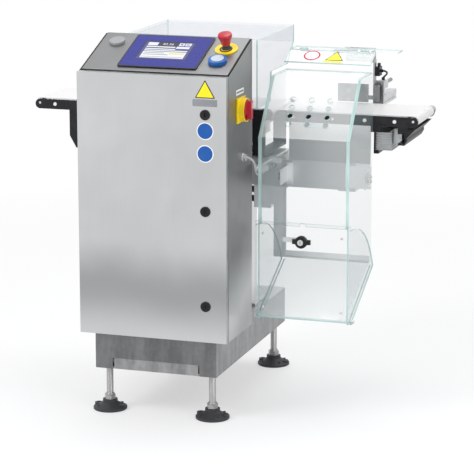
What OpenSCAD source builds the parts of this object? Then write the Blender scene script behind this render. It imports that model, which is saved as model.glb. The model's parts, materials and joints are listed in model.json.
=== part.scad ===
// Checkweigher with a side reject bin, on a cabinet with a sloped console.
// Origin on the floor at the centre of the four feet, x along the belts, y away from the operator.

/* [Feet] */
// Distance between the feet along the belts
foot_span_x = 320; // [280:1:360]
// Distance between the feet from front to rear
foot_span_y = 610; // [580:1:660]
// Diameter of a foot pad
pad_d = 100; // [90:1:120]
// Height of a foot pad with its collar
pad_h = 30; // [26:1:36]
// Distance of the anchor holes from the centre of a pad
lug_x = 36; // [33:1:38]
// Diameter of an anchor hole
anchor_d = 9; // [7:0.5:10]
// Diameter of a levelling stem
stem_d = 20; // [16:1:22]
// Height of the hexagon on the stem
hex_h = 14; // [10:1:18]
// Height of the underside of the plinth above the floor
plinth_z = 135; // [125:1:160]

/* [Plinth] */
// Height of the plinth
plinth_h = 110; // [95:1:130]
// Distance from the foot centre to the side of the plinth
plinth_side = 27; // [25:1:32]
// Distance from the front feet to the front of the plinth
plinth_front = 44; // [38:1:50]
// Distance from the rear feet to the rear of the plinth
plinth_rear = 32; // [28:1:40]
// Wall of the plinth
plinth_wall = 3; // [2:0.5:4]
// Height of the notch in the end walls
notch_h = 33; // [20:1:45]
// Length of wall left beside the notch
notch_side = 53; // [50:1:60]

/* [Cabinet] */
// Width of the cabinet
cab_w = 450; // [430:1:470]
// Depth of the cabinet with its door
cab_d = 239; // [225:1:250]
// Distance from the front feet to the front of the door
cab_front = 66; // [62:1:80]
// Height of the door
door_h = 769; // [740:1:800]
// Depth of the door
door_t = 18; // [16:1:22]
// Gap between the door and the cabinet, which the seal fills
door_gap = 3; // [2.5:0.1:4]
// Sheet of the cabinet, door and console
sheet = 2; // [1.5:0.1:2.5]
// Width of the flange round the door opening
flange = 25; // [20:1:30]
// Height of the front edge of the console above the door
console_rise = 5; // [3:1:8]
// Slope of the console
console_slope = 20.2; // [18:0.1:22]
// Length of the console up its slope
console_len = 226; // [222:1:230]
// Distance from the cabinet side to the console sheet
console_inset = 6; // [4:1:10]

/* [Door locks and hinges] */
// Distance from the locks to the right edge of the door
lock_in = 63; // [58:1:70]
// Height of the lowest lock above the door's lower edge
lock_low = 106; // [90:1:120]
// Distance between the locks
lock_pitch = 278; // [260:1:290]
// Diameter of a lock flange
lock_d = 30; // [28:1:34]
// Diameter of the lock's turning core
core_d = 14; // [12:1:16]
// Diameter of a hinge pin
pin_d = 3.8; // [3:0.1:4]
// Distance of the hinges from the door's ends
hinge_in = 85; // [70:1:110]

/* [Controls] */
// Width of the operator panel
hmi_w = 240; // [220:1:250]
// Length of the operator panel up the slope
hmi_h = 194; // [180:1:196]
// Distance of the operator panel from the console's front edge
hmi_s = 20; // [16:1:22]
// Width of the display
display_w = 148; // [130:1:160]
// Height of the display
display_h = 105; // [95:1:115]
// Thickness of the operator panel's frame
bezel_t = 4; // [3:0.5:6]
// Diameter of the yellow disc of the emergency stop
estop_d = 67; // [60:1:70]
// Diameter of the emergency stop's mushroom head
mushroom_d = 42; // [38:1:46]
// Height of the mushroom head above the console
mushroom_top = 52; // [48:1:56]
// Travel of the emergency stop
estop_travel = 6; // [4:0.5:7]
// Diameter of the push button's ring
reset_d = 55; // [50:1:58]
// Height of the push button's ring
reset_h = 11; // [9:1:13]
// Travel of the push button
reset_travel = 3; // [2:0.5:4]
// Side of the isolator's square plate
iso_plate = 73; // [66:1:80]
// Length of the isolator's handle
iso_len = 52; // [46:1:58]
// Height of the isolator's centre above the door's lower edge
iso_z = 661; // [640:1:680]

/* [Belts] */
// Height of the belts' upper face above the floor
belt_z = 864; // [860:1:880]
// Width of a belt
belt_w = 200; // [180:1:210]
// Distance from the front feet to the front faces of the belt frames
belt_front = 334; // [330:1:345]
// Thickness of a belt
belt_t = 2; // [1.5:0.1:2.5]
// Diameter of the end rollers
roller_d = 25.4; // [22:0.2:27]
// Diameter of a roller's journals
journal_d = 8; // [7:0.5:9]
// Thickness of the side plates
plate_t = 6; // [5:0.5:8]
// Height of the side plates
plate_h = 30; // [28:1:34]
// Gap between the edge of a belt and a side plate
edge_gap = 4; // [3:0.5:6]
// Length of the infeed belt
infeed_len = 346; // [330:1:360]
// Length of the weigh belt
weigh_len = 410; // [400:1:420]
// Length of the outfeed belt
outfeed_len = 438; // [425:1:450]
// Gap between two belts
transfer = 6; // [5:0.5:8]
// Distance of the weigh belt's middle from the middle of the feet
weigh_mid = 32; // [25:1:40]

/* [Cross housing] */
// Height of the cross housing
beam_h = 83; // [75:1:90]
// Depth of the cross housing
beam_d = 175; // [165:1:185]
// Length of the cross housing
beam_len = 882; // [865:1:895]
// Clear height from the cross housing to the side plates
beam_drop = 116; // [112:1:120]
// Side of the two square columns
column = 60; // [50:1:70]

/* [Reject guard] */
// Width of the guard over its clear side panels
guard_w = 271; // [262:1:275]
// Distance from the cabinet's side to the guard
guard_gap = 50; // [46:1:56]
// Depth of the guard
guard_d = 258; // [250:1:262]
// Thickness of the clear panels
glass = 5; // [4:0.5:6]
// Height of the guard's top above the belts
guard_up = 126; // [120:1:132]
// Height of the chute floor's rear end above the floor
floor_rear_z = 425; // [415:1:440]
// Slope of the chute floor
floor_slope = 26; // [24:0.1:33]
// Diameter of the vent holes
vent_d = 16; // [12:1:18]
// Height of the flap's hinge above the floor
flap_z = 300; // [296:1:304]
// Radius of the flap's cheeks
cheek_r = 270; // [262:1:276]

/* [Pusher] */
// Stroke of the push plate
stroke = 120; // [100:1:130]
// Width of the push plate
push_w = 96; // [88:1:100]
// Height of the push plate
push_h = 55; // [48:1:58]
// Diameter of the guide rod
rod_d = 12; // [10:1:14]
// Side of the profile cylinder
cyl_s = 30; // [28:1:32]

/* [Canopy and lid] */
// Height of the canopy's top above the belts
canopy_up = 228; // [220:1:236]
// Height of the clear tunnel over the belts
tunnel_h = 116; // [110:1:120]
// Slope of the clear lid over the guard
lid_slope = 25; // [22:0.5:28]
// Length of the clear lid down its slope
lid_len = 69; // [62:1:72]

/* [Hidden] */
// Running clearance on the radius of a shaft
run = 0.06;
// Gap between curved pieces that touch
touch = 0.3;
// Overrun of a cut
over = 1;
// Roundness of drilled holes and turned pieces
fine = 48;

// Heights and edges of the cabinet
hx = cab_w / 2;
door_z = plinth_z + plinth_h;
door_y = -foot_span_y / 2 - cab_front;
door_back = door_y + door_t;
body_y = door_back + door_gap;
rear_y = door_y + cab_d;
door_top = door_z + door_h;
console_y = door_y + 27;
console_z = door_top + console_rise;
rear_top = console_z + (rear_y - console_y) * tan(console_slope);
front_top = console_z - (console_y - body_y) * tan(console_slope);
skin = sheet / cos(console_slope);

// Heights and edges of the belts and their cross housing
plate_y0 = -foot_span_y / 2 + belt_front;
plate_y1 = plate_y0 + 2 * plate_t + 2 * edge_gap + belt_w;
belt_y0 = plate_y0 + plate_t + edge_gap;
belt_y1 = belt_y0 + belt_w;
bed_z = belt_z - belt_t;
loop_r = roller_d / 2 + touch;
axis_z = bed_z - loop_r;
plate_top = belt_z - 3;
plate_z = plate_top - plate_h;
beam_top = plate_z - beam_drop;
beam_z = beam_top - beam_h;
beam_y0 = plate_y0 + 11;
beam_y1 = beam_y0 + beam_d;
weigh_x0 = weigh_mid - weigh_len / 2;
weigh_x1 = weigh_mid + weigh_len / 2;
infeed_x1 = weigh_x0 - transfer;
infeed_x0 = infeed_x1 - infeed_len;
outfeed_x0 = weigh_x1 + transfer;
outfeed_x1 = outfeed_x0 + outfeed_len;
beam_x0 = infeed_x0 + 135;
beam_x1 = beam_x0 + beam_len;

// Edges of the guard
gx0 = hx + guard_gap;
gx1 = gx0 + guard_w;
gy1 = plate_y0 - 2;
gy0 = gy1 - guard_d;
guard_top = belt_z + guard_up;
slant_z = guard_top - 164;
slant_y = gy0 + 125;
flap_y = gy0 + 10;
flap_gap = 3;
cheek_out = glass + 3;
cheek_x0 = gx0 - cheek_out;
cheek_x1 = gx1 + cheek_out;
pivot_d = 6;

// One box between two corners
module span(a, b) {
    translate(a) cube([b[0] - a[0], b[1] - a[1], b[2] - a[2]]);
}

// Bars along the three directions
module bar_x(x0, x1, y, z, d) {
    translate([x0, y, z]) rotate([0, 90, 0]) cylinder(h = x1 - x0, d = d, $fn = fine);
}
module bar_y(y0, y1, x, z, d) {
    translate([x, y0, z]) rotate([-90, 0, 0]) cylinder(h = y1 - y0, d = d, $fn = fine);
}
module bar_z(z0, z1, x, y, d) {
    translate([x, y, z0]) cylinder(h = z1 - z0, d = d, $fn = fine);
}

// A plate whose outline is drawn in y and z, laid along x
module slab_x(x0, x1, outline) {
    translate([x0, 0, 0]) rotate([90, 0, 90]) linear_extrude(x1 - x0) polygon(outline);
}

// A plate whose outline is drawn in x and z, laid along y
module slab_y(y0, y1, outline) {
    translate([0, y1, 0]) rotate([90, 0, 0]) linear_extrude(y1 - y0) polygon(outline);
}

// A place on the sloped console, with y up the slope and z out of it
module on_console(x, s) {
    translate([0, console_y, console_z]) rotate([console_slope, 0, 0]) translate([x, s, 0]) children();
}

// A rounded rectangle round the origin
module rounded(w, h, r) {
    hull() for (i = [-1, 1], j = [-1, 1]) translate([i * (w / 2 - r), j * (h / 2 - r)]) circle(r,
        $fn = 32);
}

// One unbroken tube swept through points
module tube(p, r) {
    n = len(p);
    k = 8;
    function along(i) = p[min(i + 1, n - 1)] - p[max(i - 1, 0)];
    function unit(v) = v / norm(v);
    rings = [for (i = [0 : n - 1]) let (t = unit(along(i)), s = unit(cross(t, [1, -0.5, -1])),
        u = cross(s, t))
        for (j = [0 : k - 1]) p[i] + r * (s * cos(360 * j / k) + u * sin(360 * j / k))];
    sides = [for (i = [0 : n - 2], j = [0 : k - 1]) let (a = i * k + j, b = i * k + (j + 1) % k)
        each [[a, b + k, a + k], [a, b, b + k]]];
    ends = [[for (j = [0 : k - 1]) k - 1 - j], [for (j = [0 : k - 1]) (n - 1) * k + j]];
    polyhedron(points = rings, faces = concat(sides, ends));
}

// Places of the four feet
module at_feet() {
    for (i = [-1, 1], j = [-1, 1]) translate([i * foot_span_x / 2, j * foot_span_y / 2, 0]) children();
}

// Foot pads with anchor lugs
pad_rim = 7;
lug_h = 16;
lug_r = 12;
socket_z = 8;
module foot_pads() {
    color("#26282a") at_feet() difference() {
        union() {
            rotate_extrude($fn = 64) polygon([[0, 0], [pad_d / 2 - 1, 0], [pad_d / 2, 1],
                [pad_d / 2, pad_rim], [pad_d * 0.3, pad_h * 0.55], [pad_d * 0.22, pad_h * 0.72],
                [pad_d * 0.22, pad_h], [0, pad_h]]);
            for (i = [-1, 1]) translate([i * lug_x, 0, 0]) cylinder(h = lug_h, r = lug_r, $fn = fine);
            for (a = [45 : 90 : 315]) rotate(a) span([0, -2, 0], [pad_d * 0.42, 2, pad_h * 0.5]);
        }
        for (i = [-1, 1]) translate([i * lug_x, 0, -over]) cylinder(h = pad_h, d = anchor_d, $fn = fine);
        translate([0, 0, socket_z]) cylinder(h = pad_h, d = stem_d, $fn = fine);
    }
}

// Threaded stems with their hexagons
stem_top = plinth_z + 36;
module foot_stems() {
    color("#b9bcc0") at_feet() {
        translate([0, 0, socket_z]) cylinder(h = stem_top - socket_z, d = stem_d, $fn = fine);
        translate([0, 0, pad_h]) cylinder(h = hex_h, d = stem_d * 1.72, $fn = 6);
        translate([0, 0, pad_h + hex_h]) cylinder(h = 4, d = stem_d * 1.3, $fn = fine);
    }
}

// Folded plinth with gussets and bosses over the feet
px = foot_span_x / 2 + plinth_side;
py0 = -foot_span_y / 2 - plinth_front;
py1 = foot_span_y / 2 + plinth_rear;
boss_h = 8;
gusset_t = 6;
rail_w = 25;
rail_h = notch_h + 4;
module plinth_frame() {
    nx = px - notch_side;
    gx = foot_span_x / 2 - 30;
    color("#8f9295") {
        difference() {
            span([-px, py0, plinth_z], [px, py1, door_z]);
            span([-px + plinth_wall, py0 + plinth_wall, plinth_z - over],
                [px - plinth_wall, py1 - plinth_wall, door_z - plinth_wall]);
            span([-nx, py0 - over, plinth_z - over], [nx, py1 + over, plinth_z + notch_h]);
        }
        difference() {
            union() {
                for (i = [-1, 1]) {
                    y0 = i < 0 ? py0 + plinth_wall : py1 - plinth_wall - 60;
                    for (j = [-1, 1]) span([j < 0 ? -px + plinth_wall : gx, y0, plinth_z],
                        [j < 0 ? -gx : px - plinth_wall, y0 + 60, plinth_z + gusset_t]);
                    y2 = i < 0 ? py0 + plinth_wall : py1 - plinth_wall - rail_w;
                    span([-gx, y2, plinth_z], [gx, y2 + rail_w, plinth_z + rail_h]);
                }
                at_feet() translate([0, 0, plinth_z - boss_h]) cylinder(h = boss_h + 20, d = 36,
                    $fn = fine);
            }
            at_feet() translate([0, 0, plinth_z - boss_h - over])
                cylinder(h = boss_h + 30, r = stem_d / 2 + run, $fn = fine);
        }
    }
}

// Cabinet shell, open to the door and under the console
gland_y = door_y + 145;
gland_z = door_top - 249;
tab_z = [door_z + hinge_in, door_top - hinge_in];
pin_x = -hx + 4;
pin_y = door_back - 4;
tab_h = 30;
module cabinet_shell() {
    y0 = body_y;
    y1 = rear_y;
    z0 = door_z;
    color("#a9acaf") difference() {
        union() {
            difference() {
                slab_x(-hx, hx, [[y0, z0], [y1, z0], [y1, rear_top - skin], [y0, front_top - skin]]);
                slab_x(-hx + sheet, hx - sheet, [[y0 + sheet, z0 + sheet], [y1 - sheet, z0 + sheet],
                    [y1 - sheet, rear_top - 2 * skin], [y0 + sheet, front_top - 2 * skin]]);
                span([-hx + flange, y0 - over, z0 + flange], [hx - flange, y0 + sheet + over,
                    door_top - flange]);
            }
            for (z = tab_z) span([pin_x - 1.8, pin_y, z - tab_h / 2], [pin_x + 1.8, y0 + over,
                z + tab_h / 2]);
            for (z = tab_z) bar_z(z - tab_h / 2, z + tab_h / 2, pin_x, pin_y, pin_d + 4);
        }
        for (z = tab_z) bar_z(z - tab_h, z + tab_h, pin_x, pin_y, pin_d);
        on_console(0, 0) span([-hx + flange, 20, -4 * sheet], [hx - flange, console_len - 22, over]);
        bar_x(hx - 10, hx + 10, gland_y, gland_z, 20);
        bar_x(hx - 10, hx + 10, iso_y, iso_zc, 22);
        for (j = [-1, 1]) bar_y(rear_y - 10, rear_y + 10, j * 60, beam_top - 30, 24);
    }
}

// Console sheet with its cut-outs
estop_in = 54;
estop_x = hx - estop_in;
estop_s = 150;
reset_in = 57;
reset_x = hx - reset_in;
reset_s = 74;
cap_in = 56;
cap_x = -hx + cap_in;
cap_s = 167;
hole_d = 22;
unit_inset = 10;
module console_panel() {
    color("#b4b7ba") difference() {
        on_console(0, 0) span([-hx + console_inset, 0, -sheet], [hx - console_inset, console_len, 0]);
        on_console(0, hmi_s + hmi_h / 2) translate([-hmi_w / 2 + unit_inset, -hmi_h / 2 + unit_inset, -5])
            cube([hmi_w - 2 * unit_inset, hmi_h - 2 * unit_inset, 10]);
        on_console(estop_x, estop_s) translate([0, 0, -5]) cylinder(h = 10, d = hole_d, $fn = fine);
        on_console(reset_x, reset_s) translate([0, 0, -5]) cylinder(h = 10, d = hole_d, $fn = fine);
        on_console(cap_x, cap_s) translate([0, 0, -5]) cylinder(h = 10, d = hole_d, $fn = fine);
    }
}

// Rubber seal on the cabinet's front flange
module door_seal() {
    color("#1f2022") difference() {
        span([-hx + 14, door_back + touch, door_z + 3], [hx - 3, body_y, door_top - 3]);
        span([-hx + flange - 2, door_back, door_z + 16], [hx - 16, body_y + over, door_top - 16]);
    }
}

// Hinge pins
module hinge_pins() {
    color("#c8cacc") for (z = tab_z) bar_z(z - tab_h / 2 - 12, z + tab_h / 2 + 12, pin_x, pin_y, pin_d);
}

// Frame of the operator panel
display_x = -4;
display_s = hmi_s + hmi_h / 2 + 4;
module screen_bezel() {
    color("#3c4a63") difference() {
        on_console(0, hmi_s + hmi_h / 2) linear_extrude(bezel_t) rounded(hmi_w, hmi_h, 8);
        on_console(display_x, display_s) translate([-display_w / 2, -display_h / 2, bezel_t - 1.5])
            cube([display_w, display_h, bezel_t]);
    }
}

// Glass of the display
module screen_glass() {
    color("#10151c") on_console(display_x, display_s) translate([-display_w / 2, -display_h / 2,
        bezel_t - 1.5])
        cube([display_w, display_h, 1]);
}

// Electronics behind the operator panel
unit_t = 42;
module control_unit() {
    w = hmi_w - 2 * unit_inset - 4;
    h = hmi_h - 2 * unit_inset - 4;
    color("#55585c") on_console(0, hmi_s + hmi_h / 2) translate([-w / 2, -h / 2, -unit_t]) cube([w,
        h, unit_t]);
}

// Yellow disc and contact block of the emergency stop
stem_r = 5;
block_z = -34;
module estop_base() {
    color("#e8c21a") on_console(estop_x, estop_s) difference() {
        union() {
            cylinder(h = 4, d = estop_d, $fn = 64);
            translate([0, 0, -14]) cylinder(h = 15, d = hole_d - 1, $fn = fine);
            translate([-15, -15, block_z]) cube([30, 30, 20]);
        }
        translate([0, 0, block_z + 6]) cylinder(h = 60, r = stem_r + run, $fn = fine);
    }
}

// Blanking cap, and the pale collar of the emergency stop
cap_d = 46;
cap_h = 8;
neck_h = 6;
module console_caps() {
    color("#d7d9db") on_console(cap_x, cap_s) {
        cylinder(h = cap_h, d = cap_d, $fn = fine);
        translate([0, 0, -12]) cylinder(h = 12, d = hole_d - 1, $fn = fine);
    }
    color("#c9ccd0") on_console(estop_x, estop_s) difference() {
        translate([0, 0, 4]) cylinder(h = neck_h, d1 = 28, d2 = 24, $fn = 64);
        translate([0, 0, 3]) cylinder(h = 20, r = stem_r + run, $fn = fine);
    }
}

// Plunger that the mushroom head presses
head_z = 4 + neck_h + estop_travel + 1;
module estop_stem() {
    color("#c9ccd0") on_console(estop_x, estop_s) translate([0, 0, block_z + 6 + estop_travel + 1])
        cylinder(h = head_z + 14 - block_z - 7 - estop_travel, r = stem_r, $fn = fine);
}

// Mushroom head
module estop_button() {
    r = mushroom_d / 2;
    color("#c8202a") on_console(estop_x, estop_s) difference() {
        rotate_extrude($fn = 64) polygon([[0, head_z], [r * 0.62, head_z], [r * 0.68, head_z + 10],
            [r * 0.97, mushroom_top - 10], [r, mushroom_top - 6], [r * 0.93, mushroom_top - 2],
            [r * 0.7, mushroom_top], [0, mushroom_top]]);
        translate([0, 0, head_z - over]) cylinder(h = 15 + over, r = stem_r + run, $fn = fine);
    }
}

// Ring of the push button
lens_d = 38;
module reset_bezel() {
    color("#2f6fb4") on_console(reset_x, reset_s) difference() {
        union() {
            cylinder(h = reset_h, d = reset_d, $fn = 64);
            translate([0, 0, -16]) cylinder(h = 16, d = hole_d - 1, $fn = fine);
            translate([-14, -14, -34]) cube([28, 28, 19]);
        }
        translate([0, 0, reset_h - 7]) cylinder(h = 8, r = lens_d / 2 + run, $fn = 64);
        translate([0, 0, -20]) cylinder(h = 40, r = stem_r + run, $fn = fine);
    }
}

// Pressed lens of the push button
module reset_lens() {
    color("#dfe8ee") on_console(reset_x, reset_s) {
        translate([0, 0, reset_h - 7 + reset_travel + 0.5]) cylinder(h = 6, d = lens_d, $fn = 64);
        translate([0, 0, -20 + reset_travel + 1]) cylinder(h = 14 + reset_h, r = stem_r, $fn = fine);
    }
}

// Yellow plate and switch body of the main isolator
iso_y = door_y + 128;
iso_zc = door_z + iso_z;
iso_t = 4;
iso_deep = 17;
iso_ring = iso_plate - 4;
iso_bore = iso_ring - 8;
shaft_r = 4;
module isolator_plate() {
    color("#e8c21a") difference() {
        union() {
            span([hx, iso_y - iso_plate / 2, iso_zc - iso_plate / 2],
                [hx + iso_t, iso_y + iso_plate / 2, iso_zc + iso_plate / 2]);
            bar_x(hx + iso_t, hx + iso_t + iso_deep, iso_y, iso_zc, iso_ring);
            bar_x(hx - sheet - 3, hx + over, iso_y, iso_zc, 21);
            span([hx - sheet - 50, iso_y - 26, iso_zc - 26], [hx - sheet - touch, iso_y + 26,
                iso_zc + 26]);
        }
        bar_x(hx - 30, hx + 20, iso_y, iso_zc, 2 * (shaft_r + run));
        bar_x(hx + iso_t + 6, hx + iso_t + iso_deep + over, iso_y, iso_zc, iso_bore);
    }
}

// Rotary handle of the main isolator
module isolator_knob() {
    x = hx + iso_t + 6.5;
    color("#c22a22") {
        bar_x(hx - 28, x + 2, iso_y, iso_zc, 2 * shaft_r);
        bar_x(x, x + 13, iso_y, iso_zc, iso_bore - 3);
        span([x + 12, iso_y - 9, iso_zc - iso_len / 2], [x + 25, iso_y + 9, iso_zc + iso_len / 2]);
    }
}

// Glands on the side wall, on the cross housing and for the supply
lead_d = 6;
lead_r = lead_d / 2;
lead_down = 50;
lead_end_z = beam_top - 18;
lead_end_x = hx + 18;
module gland_x(x, y, z) {
    difference() {
        union() {
            bar_x(x - 8, x, y, z, 19);
            bar_x(x, x + 4, y, z, 26);
            bar_x(x + 4, x + 12, y, z, 22);
        }
        bar_x(x - 9, x + 13, y, z, lead_d + 2 * run);
    }
}
module cable_glands() {
    color("#b9bcbf") {
        gland_x(hx, gland_y, gland_z);
        difference() {
            union() {
                bar_y(beam_y0 - 10, beam_y0, lead_end_x, lead_end_z, 22);
                bar_y(beam_y0, beam_y0 + 6, lead_end_x, lead_end_z, 17);
            }
            bar_y(beam_y0 - 11, beam_y0 + 7, lead_end_x, lead_end_z, lead_d + 2 * run);
        }
    }
}

// Signal lead from the cabinet to the cross housing, as one swept tube
lead_turn = 8 * lead_r;
lead_fall_a = 75;
lead_x = hx + 12;
lead_arc = [for (i = [0 : 6]) let (a = 15 * i) [lead_x + lead_turn * sin(a),
    gland_y + lead_turn * (1 - cos(a)) * cos(lead_fall_a),
    gland_z - lead_turn * (1 - cos(a)) * sin(lead_fall_a)]];
lead_low = lead_arc[6] + lead_down * [0, cos(lead_fall_a), -sin(lead_fall_a)];
lead_near = [lead_end_x, (gland_y + beam_y0) / 2 - lead_turn, lead_end_z];
lead_to = [lead_end_x, beam_y0 - 10, lead_end_z];
lead_points = [[hx - 20, gland_y, gland_z], each lead_arc, for (i = [1 : 12]) let (t = i / 12, u = 1 - t)
    u * u * u * lead_arc[6] + 3 * u * u * t * lead_low + 3 * u * t * t * lead_near + t * t * t * lead_to,
    [lead_end_x, beam_y0 + 5, lead_end_z]];
module signal_cable() {
    color("#3a3d40") tube(lead_points, lead_d / 2);
}

// Mounting plate with its rails, inside the cabinet
mp_y = rear_y - 16;
mp_z0 = door_z + 60;
mp_z1 = door_top - 249;
rail_zs = [mp_z1 - 100, mp_z1 - 270, mp_z0 + 50];
module mount_plate() {
    color("#c3c6c8") {
        span([-hx + 40, mp_y, mp_z0], [hx - 40, mp_y + sheet, mp_z1]);
        for (i = [-1, 1], z = [mp_z0 + 20, mp_z1 - 20])
            bar_y(mp_y, rear_y - sheet, i * (hx - 60), z, 14);
        for (z = rail_zs) span([-hx + 55, mp_y - 8, z - 17], [hx - 55, mp_y, z + 17]);
    }
}
module on_rail(x0, x1, z, h, d) {
    span([x0, mp_y - 8 - d, z - h / 2], [x1, mp_y - 8, z + h / 2]);
}
module motor_drives() {
    color("#4a4d50") for (i = [0 : 2]) on_rail(-60 + i * 62, -10 + i * 62, rail_zs[0], 125, 95);
}
module rail_devices() {
    color("#b9b7a8") {
        on_rail(-150, -85, rail_zs[0], 125, 110);
        for (i = [0 : 15]) on_rail(-140 + i * 9, -132 + i * 9, rail_zs[1], 52, 44);
        for (i = [0 : 3]) on_rail(40 + i * 27, 62 + i * 27, rail_zs[1], 80, 70);
        on_rail(-140, 40, rail_zs[2], 60, 60);
    }
}

// Two square columns on the plinth
column_x = 120;
column_y = beam_y0 + beam_d / 2;
module columns() {
    color("#a9acaf") for (i = [-1, 1]) {
        difference() {
            span([i * column_x - column / 2, column_y - column / 2, door_z + 8],
                [i * column_x + column / 2, column_y + column / 2, beam_z - 6]);
            span([i * column_x - column / 2 + sheet, column_y - column / 2 + sheet, door_z],
                [i * column_x + column / 2 - sheet, column_y + column / 2 - sheet, beam_z]);
        }
        span([i * column_x - 50, column_y - 50, door_z], [i * column_x + 50, column_y + 50, door_z + 8]);
        span([i * column_x - 50, column_y - 50, beam_z - 6], [i * column_x + 50, column_y + 50, beam_z]);
    }
}

// Closed cross housing that carries the belts
cell_x = weigh_mid;
post_d = 34;
module beam_housing() {
    color("#a5a8ab") difference() {
        union() {
            span([beam_x0, beam_y0, beam_z], [beam_x1, beam_y1, beam_top]);
            span([beam_x1 - 52, beam_y0 - 2, beam_z - 3], [beam_x1, beam_y1 + 2, beam_top]);
            for (j = [-1, 1]) {
                bar_y(rear_y, beam_y0 + over, j * 60, beam_top - 30, 30);
                bar_y(rear_y, rear_y + 4, j * 60, beam_top - 30, 46);
            }
        }
        for (j = [-1, 1]) bar_y(rear_y - over, beam_y0 + 10, j * 60, beam_top - 30, 24);
        span([beam_x0 + sheet, beam_y0 + sheet, beam_z + sheet], [beam_x1 - sheet, beam_y1 - sheet,
            beam_top - sheet]);
        bar_z(beam_top - 10, beam_top + 10, cell_x, column_y, post_d + 10);
        bar_y(beam_y0 - 10, beam_y0 + 10, lead_end_x, lead_end_z, 17);
    }
}

// Junction box under the cross housing, with its two glands
box_x0 = gx0 - 100;
box_w = 66;
box_d = 60;
box_h = 71;
module junction_box() {
    y0 = beam_y0 + 8;
    color("#c9ccd0") {
        span([box_x0, y0, beam_z - box_h + 12], [box_x0 + box_w, y0 + box_d, beam_z]);
        span([box_x0, y0, beam_z - box_h], [box_x0 + box_w - 14, y0 + box_d, beam_z - box_h + 12]);
        for (z = [beam_z - box_h * 0.3, beam_z - box_h * 0.7]) {
            bar_x(box_x0 - 8, box_x0, y0 + box_d / 2, z, 24);
            bar_x(box_x0 - 16, box_x0 - 8, y0 + box_d / 2, z, 19);
        }
    }
}

// Load cell on the floor of the cross housing
cell_len = 150;
module load_cell() {
    z = beam_z + sheet;
    color("#c6c9cc") {
        span([cell_x - cell_len / 2, column_y - 20, z], [cell_x - cell_len / 2 + 45, column_y + 20,
            z + 12]);
        difference() {
            span([cell_x - cell_len / 2, column_y - 17, z + 12], [cell_x + cell_len / 2,
                column_y + 17, z + 46]);
            for (i = [-1, 1]) bar_y(column_y - 20, column_y + 20, cell_x + i * 11, z + 29, 20);
        }
        bar_z(z + 46, beam_top + 8, cell_x, column_y, post_d);
    }
}

// Side plates of a belt frame with bores for the journals
bore_r = journal_d / 2 + run;
module side_plates(x0, x1) {
    r = plate_h / 2;
    for (y = [plate_y0, plate_y1 - plate_t]) difference() {
        union() {
            span([x0 + r, y, plate_z], [x1 - r, y + plate_t, plate_top]);
            for (x = [x0 + r, x1 - r]) bar_y(y, y + plate_t, x, plate_top - r, plate_h);
        }
        for (x = [x0 + loop_r + belt_t, x1 - loop_r - belt_t])
            bar_y(y - over, y + plate_t + over, x, axis_z, 2 * bore_r);
    }
}

// Infeed frame with its deep legs on the cross housing
leg_x0 = infeed_x0 + 112;
leg_len = 150;
module infeed_frame() {
    color("#1d1e20") {
        side_plates(infeed_x0, infeed_x1);
        for (y = [plate_y0, plate_y1 - plate_t]) slab_y(y, y + plate_t, [[leg_x0, plate_z], [leg_x0,
            beam_top + 37],
            [leg_x0 + 21, beam_top], [leg_x0 + leg_len, beam_top], [leg_x0 + leg_len, plate_z]]);
        span([leg_x0 + 24, plate_y0 + plate_t, beam_top], [leg_x0 + leg_len, plate_y1 - plate_t,
            beam_top + 5]);
    }
}

// Weigh frame on the post of the load cell
pan_z = beam_top + 8;
module weigh_frame() {
    color("#1d1e20") {
        side_plates(weigh_x0, weigh_x1);
        for (y = [plate_y0, plate_y1 - plate_t], x = [weigh_x0 + 30, weigh_x1 - 62])
            span([x, y, pan_z], [x + 40, y + plate_t, plate_z]);
        for (x = [weigh_x0 + 30, weigh_x1 - 62])
            span([x, plate_y0 + plate_t, pan_z], [x + 40, plate_y1 - plate_t, pan_z + 6]);
        span([weigh_x0 + 30, column_y - 40, pan_z], [weigh_x1 - 22, column_y + 40, pan_z + 6]);
    }
}

// Bracket that carries the outfeed's motor
module motor_bracket(x) {
    foot_z = motor_z - motor_h / 2;
    span([x - 4, plate_y0 + plate_t, motor_top], [x + motor_w, plate_y1 - plate_t, motor_top + 4]);
    for (y = [plate_y0, plate_y1 - plate_t]) span([x - 4, y, motor_top], [x + 28, y + plate_t,
        plate_z + over]);
    span([x - 4, plate_y0 + 40, foot_z - 10], [x - 1, plate_y0 + 140, motor_top + over]);
    span([x - 4, plate_y0 + 40, foot_z - 10], [x + 11, plate_y0 + 140, foot_z - 2]);
}

// Outfeed frame with its steel legs and the bracket under the nose
leg_x2 = outfeed_x0 + 45;
module outfeed_frame() {
    nose = outfeed_x1;
    for (y = [plate_y0 + plate_t, plate_y1 - plate_t - 3]) color("#d9dbdd")
        span([leg_x2, y, beam_top], [leg_x2 + 48, y + 3, plate_top - 4]);
    color("#d9dbdd") {
        span([leg_x2, plate_y0 + plate_t, beam_top], [leg_x2 + 48, plate_y1 - plate_t, beam_top + 5]);
        span([leg_x2 + 48, plate_y0 + plate_t, beam_top + over], [gx1 - glass - 3,
            plate_y0 + plate_t + 3, plate_z + 8]);
    }
    color("#1d1e20") {
        side_plates(outfeed_x0, nose);
        slab_y(plate_y0, plate_y1, [[nose - 9, plate_z - 6], [nose - 33, plate_z - 31], [nose - 32,
            plate_z - 40],
            [nose - 40, plate_z - 54], [nose - 60, plate_z - 53], [nose - 60, plate_z - 48],
                [nose - 43, plate_z - 48],
            [nose - 38, plate_z - 39], [nose - 41, plate_z - 31], [nose - 41, plate_z - 6]]);
        for (y = [plate_y0, plate_y1 - plate_t])
            span([nose - 60, y, plate_z - 20], [nose - 30, y + plate_t, plate_z + 4]);
        motor_bracket(outfeed_mx - motor_w / 2);
    }
}

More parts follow.
